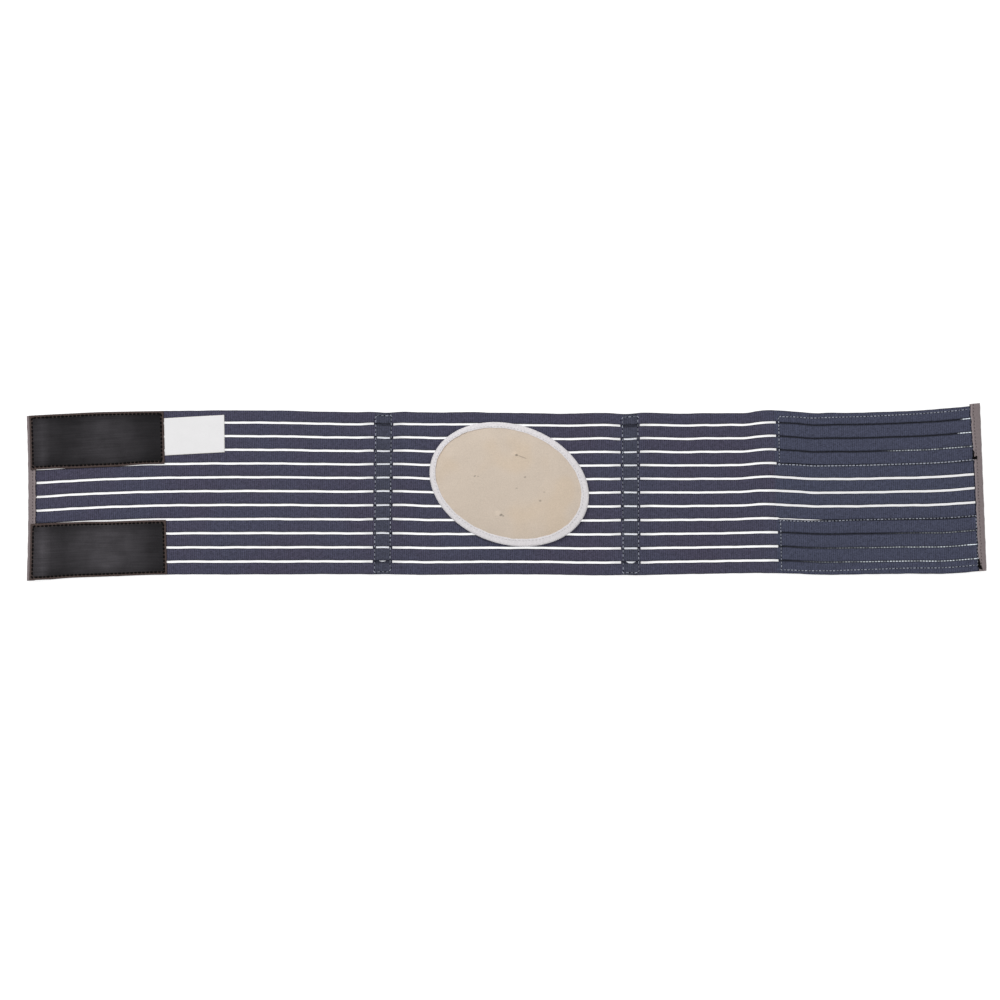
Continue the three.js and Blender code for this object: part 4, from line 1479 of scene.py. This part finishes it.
class BELT_OT_pad(Operator):
    """Stuff the oval pad and bind its edge with tape"""

    bl_idname = "belt.pad"
    bl_label = "Pad"

    def execute(self, context):
        self.stuff()
        self.bind()
        return {"FINISHED"}

    def stuff(self):
        """The cushion, swollen and then pulled in beside its binding."""
        c = cut()
        long, short = c.pad_length / 2 - PAD_INSET, c.pad_width / 2 - PAD_INSET
        bottom = pad_bottom()
        angle = np.linspace(0, 2 * np.pi, 97)[:-1]
        rings = [(row.out, row.top) for row in PAD_ROWS]
        rings += [(row.out, row.under) for row in reversed(PAD_ROWS)]
        share, height = (column[:, None] for column in np.array(rings).T)
        x, y = share * long * np.cos(angle), share * short * np.sin(angle)
        height = np.broadcast_to(height * c.crown + bottom, x.shape)
        shape = skin(x, y, height, place=on_pad)
        piece = new_piece("pad_cushion", [shape], brushed_knit())
        turn = (math.cos(c.pad_turn), math.sin(c.pad_turn))

        def out(points):
            dx = points[:, 0] - c.pad_x - BELT_SHIFT[0]
            dy = points[:, 1] - c.pad_y - BELT_SHIFT[1]
            px, py = dx * turn[0] + dy * turn[1], dy * turn[0] - dx * turn[1]
            return np.hypot(px / long, py / short), np.arctan2(py / short, px / long)

        def held(points):
            return (out(points)[0] > 0.93) | (points[:, 2] < bottom + 0.0025)

        points = inflate(piece, 0.0026, 4.0, 0.0016, held)
        share, angle = out(points)
        pull = smooth(share, 0.72, 0.86) * (1 - smooth(share, 0.94, 1.0))
        top = points[:, 2] > bottom + 0.003
        points[:, 2] += top * pull * 0.00028 * ripple(angle, 0.33, 11)
        points[:, 2] += top * (1 - smooth(share, 0.6, 0.9)) * 0.0002 * (
            ripple(points[:, 0], 0.041, 12) * ripple(points[:, 1], 0.037, 13))
        points[:, 2] = np.clip(points[:, 2], bottom, bottom + c.crown)
        piece.data.vertices.foreach_set("co", points.ravel())
        piece.data.update()
        rounding = piece.modifiers.new("Rounding", "SUBSURF")
        rounding.levels = rounding.render_levels = 1
        smoothed = evaluated(piece)
        piece.modifiers.remove(rounding)
        piece.data = smoothed
        smoothed.materials.clear()
        smoothed.materials.append(material_named("Cotton knit, brushed over foam", brushed_knit))
        smoothed.shade_smooth()
        finish_piece(piece, "pad_body")

    def bind(self):
        """The tape folded over the cushion's edge, and its row of stitches."""
        c, t = cut(), trim()
        tape = woven_tape("Cotton binding tape, rib knitted", colours().rim, 0.0013,
                          contrast=0.05, roughness=0.9)
        ring_in, ring_up, deep = folded_ring(c.rim_width, c.rim_height, c.rim_rise, 0.001)
        long, short = c.pad_length / 2, c.pad_width / 2
        fine = np.linspace(0, 2 * np.pi, 4001)
        gone = np.concatenate(([0], np.cumsum(np.hypot(
            np.diff(long * np.cos(fine)), np.diff(short * np.sin(fine))))))
        ribs = round(gone[-1] / t.rim_rib)
        along = np.arange(ribs * 4) * gone[-1] / (ribs * 4)
        angle = np.interp(along, gone, fine)[:, None]
        normal = np.stack((np.cos(angle) * short, np.sin(angle) * long))
        normal /= np.linalg.norm(normal, axis=0)
        pull = ripple(along / gone[-1], 0.05, 21)[:, None] * smooth(ring_in, 0.003, 0.006)
        cos, sin = math.cos(c.pad_turn), math.sin(c.pad_turn)
        aside = (normal[0] * (cos - sin) - normal[1] * (cos + sin)) / math.sqrt(2)
        reach = ring_in * (1.05 + 0.2 * aside) + 0.00025 * pull
        x = np.cos(angle) * long - normal[0] * reach
        y = np.sin(angle) * short - normal[1] * reach
        h = pad_bottom() + ring_up + 0.00012 * pull
        marks = dict(inset=deep, relief=1.0, along=along[:, None] + 0.25 * gone[-1] / ribs)
        shape = skin(x, y, h, place=on_pad, closed=True, **marks)
        shape[2]["u"] = np.broadcast_to(along[:, None], h.shape).ravel()
        shape[2]["v"] = np.broadcast_to(ring_in, h.shape).ravel()
        piece = new_piece("pad_edge_tape", [shape], tape)
        grow(piece, tree_named("Ribs", rib_tree), {
            "Pitch": float(gone[-1]) / ribs, "Height": 0.00009, "Material": tape,
        })
        finish_piece(piece, "pad_rim_binding")
        inward = (c.rim_width - 0.0016) * (1.05 + 0.2 * aside)
        x, y = on_pad(np.cos(angle) * long - normal[0] * inward,
                      np.sin(angle) * short - normal[1] * inward)
        up = np.full(len(x), pad_bottom() + c.rim_height + 0.6 * c.rim_rise)
        row = list(zip(x[:, 0], y[:, 0], up))[::2]
        thread = thread_of("White cotton thread, twisted", times(colours().rim, 0.75),
                           colours().rim)
        sew("pad_edge_stitches", [(row, True)], thread, 0.0033, 0.0023, 0.0003, 0.0002)


# The floor is so wide that its edge never shows, and lies just under the belt's stitches
FLOOR_HALF, FLOOR_LEVEL = 60, -0.0004
Lamp = namedtuple("Lamp", "name spot wide power")
LAMPS = (
    Lamp("key_light", (-1.1, 1.5, 2.2), 1.4, 34.0),
    Lamp("fill_light", (1.6, -1.2, 2.4), 2.0, 12.0),
)
CAMERA_SPOT = (-0.0063, -0.0079, 2.694)


class BELT_OT_stage(Operator):
    """Set out the floor, the lights and the camera"""

    bl_idname = "belt.stage"
    bl_label = "Floor, lights and camera"

    def execute(self, context):
        scene = context.scene
        self.floor()
        scene.world = bpy.data.worlds.new("studio")
        scene.world.use_nodes = True
        sky = scene.world.node_tree.nodes["Background"].inputs
        sky["Color"].default_value = (1, 1, 1, 1)
        sky["Strength"].default_value = 0.5
        for lamp in LAMPS:
            data = bpy.data.lights.new(lamp.name, "AREA")
            data.size, data.energy = lamp.wide, lamp.power
            light = add_object(lamp.name, data)
            light.location = lamp.spot
            light.rotation_euler = self.aim(lamp.spot, (0, 0, 0))
            light.visible_camera = False
        camera = bpy.data.cameras.new("camera")
        camera.lens, camera.sensor_width, camera.clip_end = 100, 36, 500
        scene.camera = add_object("camera", camera)
        scene.camera.location = CAMERA_SPOT
        scene.view_settings.view_transform = "Standard"
        return {"FINISHED"}

    def floor(self):
        """A pale sheet of paper that the light comes through."""
        mesh = bpy.data.meshes.new("floor")
        mesh.from_pydata([(x * FLOOR_HALF, y * FLOOR_HALF, FLOOR_LEVEL)
                          for x, y in ((-1, -1), (1, -1), (1, 1), (-1, 1))], [], [(0, 1, 2, 3)])
        paper, tree, shader = new_material(
            "Seamless paper, lit from below", (0.62, 0.62, 0.62), Roughness=0.9,
            Emission_Color=(1, 1, 1, 1), Emission_Strength=0.7,
        )
        place = add_node(tree, "ShaderNodeTexCoord").outputs["Object"]
        grain = add_node(tree, "ShaderNodeTexNoise", (place, 1 / 0.002, 3.0))
        grain = add_node(tree, "ShaderNodeMapRange", (grain, 0.3, 0.7), **EASED)
        tone = add_node(tree, "ShaderNodeMix", (grain, (0.6, 0.6, 0.6), (0.64, 0.64, 0.64)),
                        **IN_COLOUR)
        tree.links.new(out_of(tone), shader.inputs["Base Color"])
        mesh.materials.append(paper)
        return add_object("floor", mesh)

    def aim(self, spot, target):
        """Turns that point a lamp at a place."""
        dx, dy, dz = (b - a for a, b in zip(spot, target))
        flat = math.hypot(dx, dy)
        return (math.atan2(flat, -dz), 0, math.atan2(dx, -dy) + math.pi)


class BELT_PT_panel(Panel):
    """Sizes, colours and pieces of the belt"""

    bl_idname = "BELT_PT_panel"
    bl_label = "Hernia belt"
    bl_space_type = "VIEW_3D"
    bl_region_type = "UI"
    bl_category = "Hernia belt"

    def draw(self, context):
        layout = self.layout
        for operator in OPERATORS:
            layout.operator(operator.bl_idname)
        for title, group in (("Cut", cut()), ("Trim", trim()), ("Colours", colours())):
            box = layout.box()
            box.label(text=title)
            for name in group.__annotations__:
                box.prop(group, name)


OPERATORS = (
    BELT_OT_stage, BELT_OT_elastic, BELT_OT_bindings, BELT_OT_hook_patches,
    BELT_OT_loop_patches, BELT_OT_casings, BELT_OT_label, BELT_OT_pad,
)
GROUPS = {"belt_cut": BeltCut, "belt_trim": BeltTrim, "belt_colours": BeltColours}


def register():
    for made in (*GROUPS.values(), *OPERATORS, BELT_PT_panel):
        bpy.utils.register_class(made)
    for name, group in GROUPS.items():
        setattr(bpy.types.Scene, name, PointerProperty(type=group))


def unregister():
    for name in GROUPS:
        delattr(bpy.types.Scene, name)
    for made in (BELT_PT_panel, *reversed(OPERATORS), *GROUPS.values()):
        bpy.utils.unregister_class(made)


def main():
    register()
    bpy.ops.belt.stage()
    bpy.ops.belt.elastic()
    bpy.ops.belt.bindings()
    bpy.ops.belt.hook_patches()
    bpy.ops.belt.loop_patches()
    bpy.ops.belt.casings()
    bpy.ops.belt.label()
    bpy.ops.belt.pad()


if __name__ == "__main__":
    main()
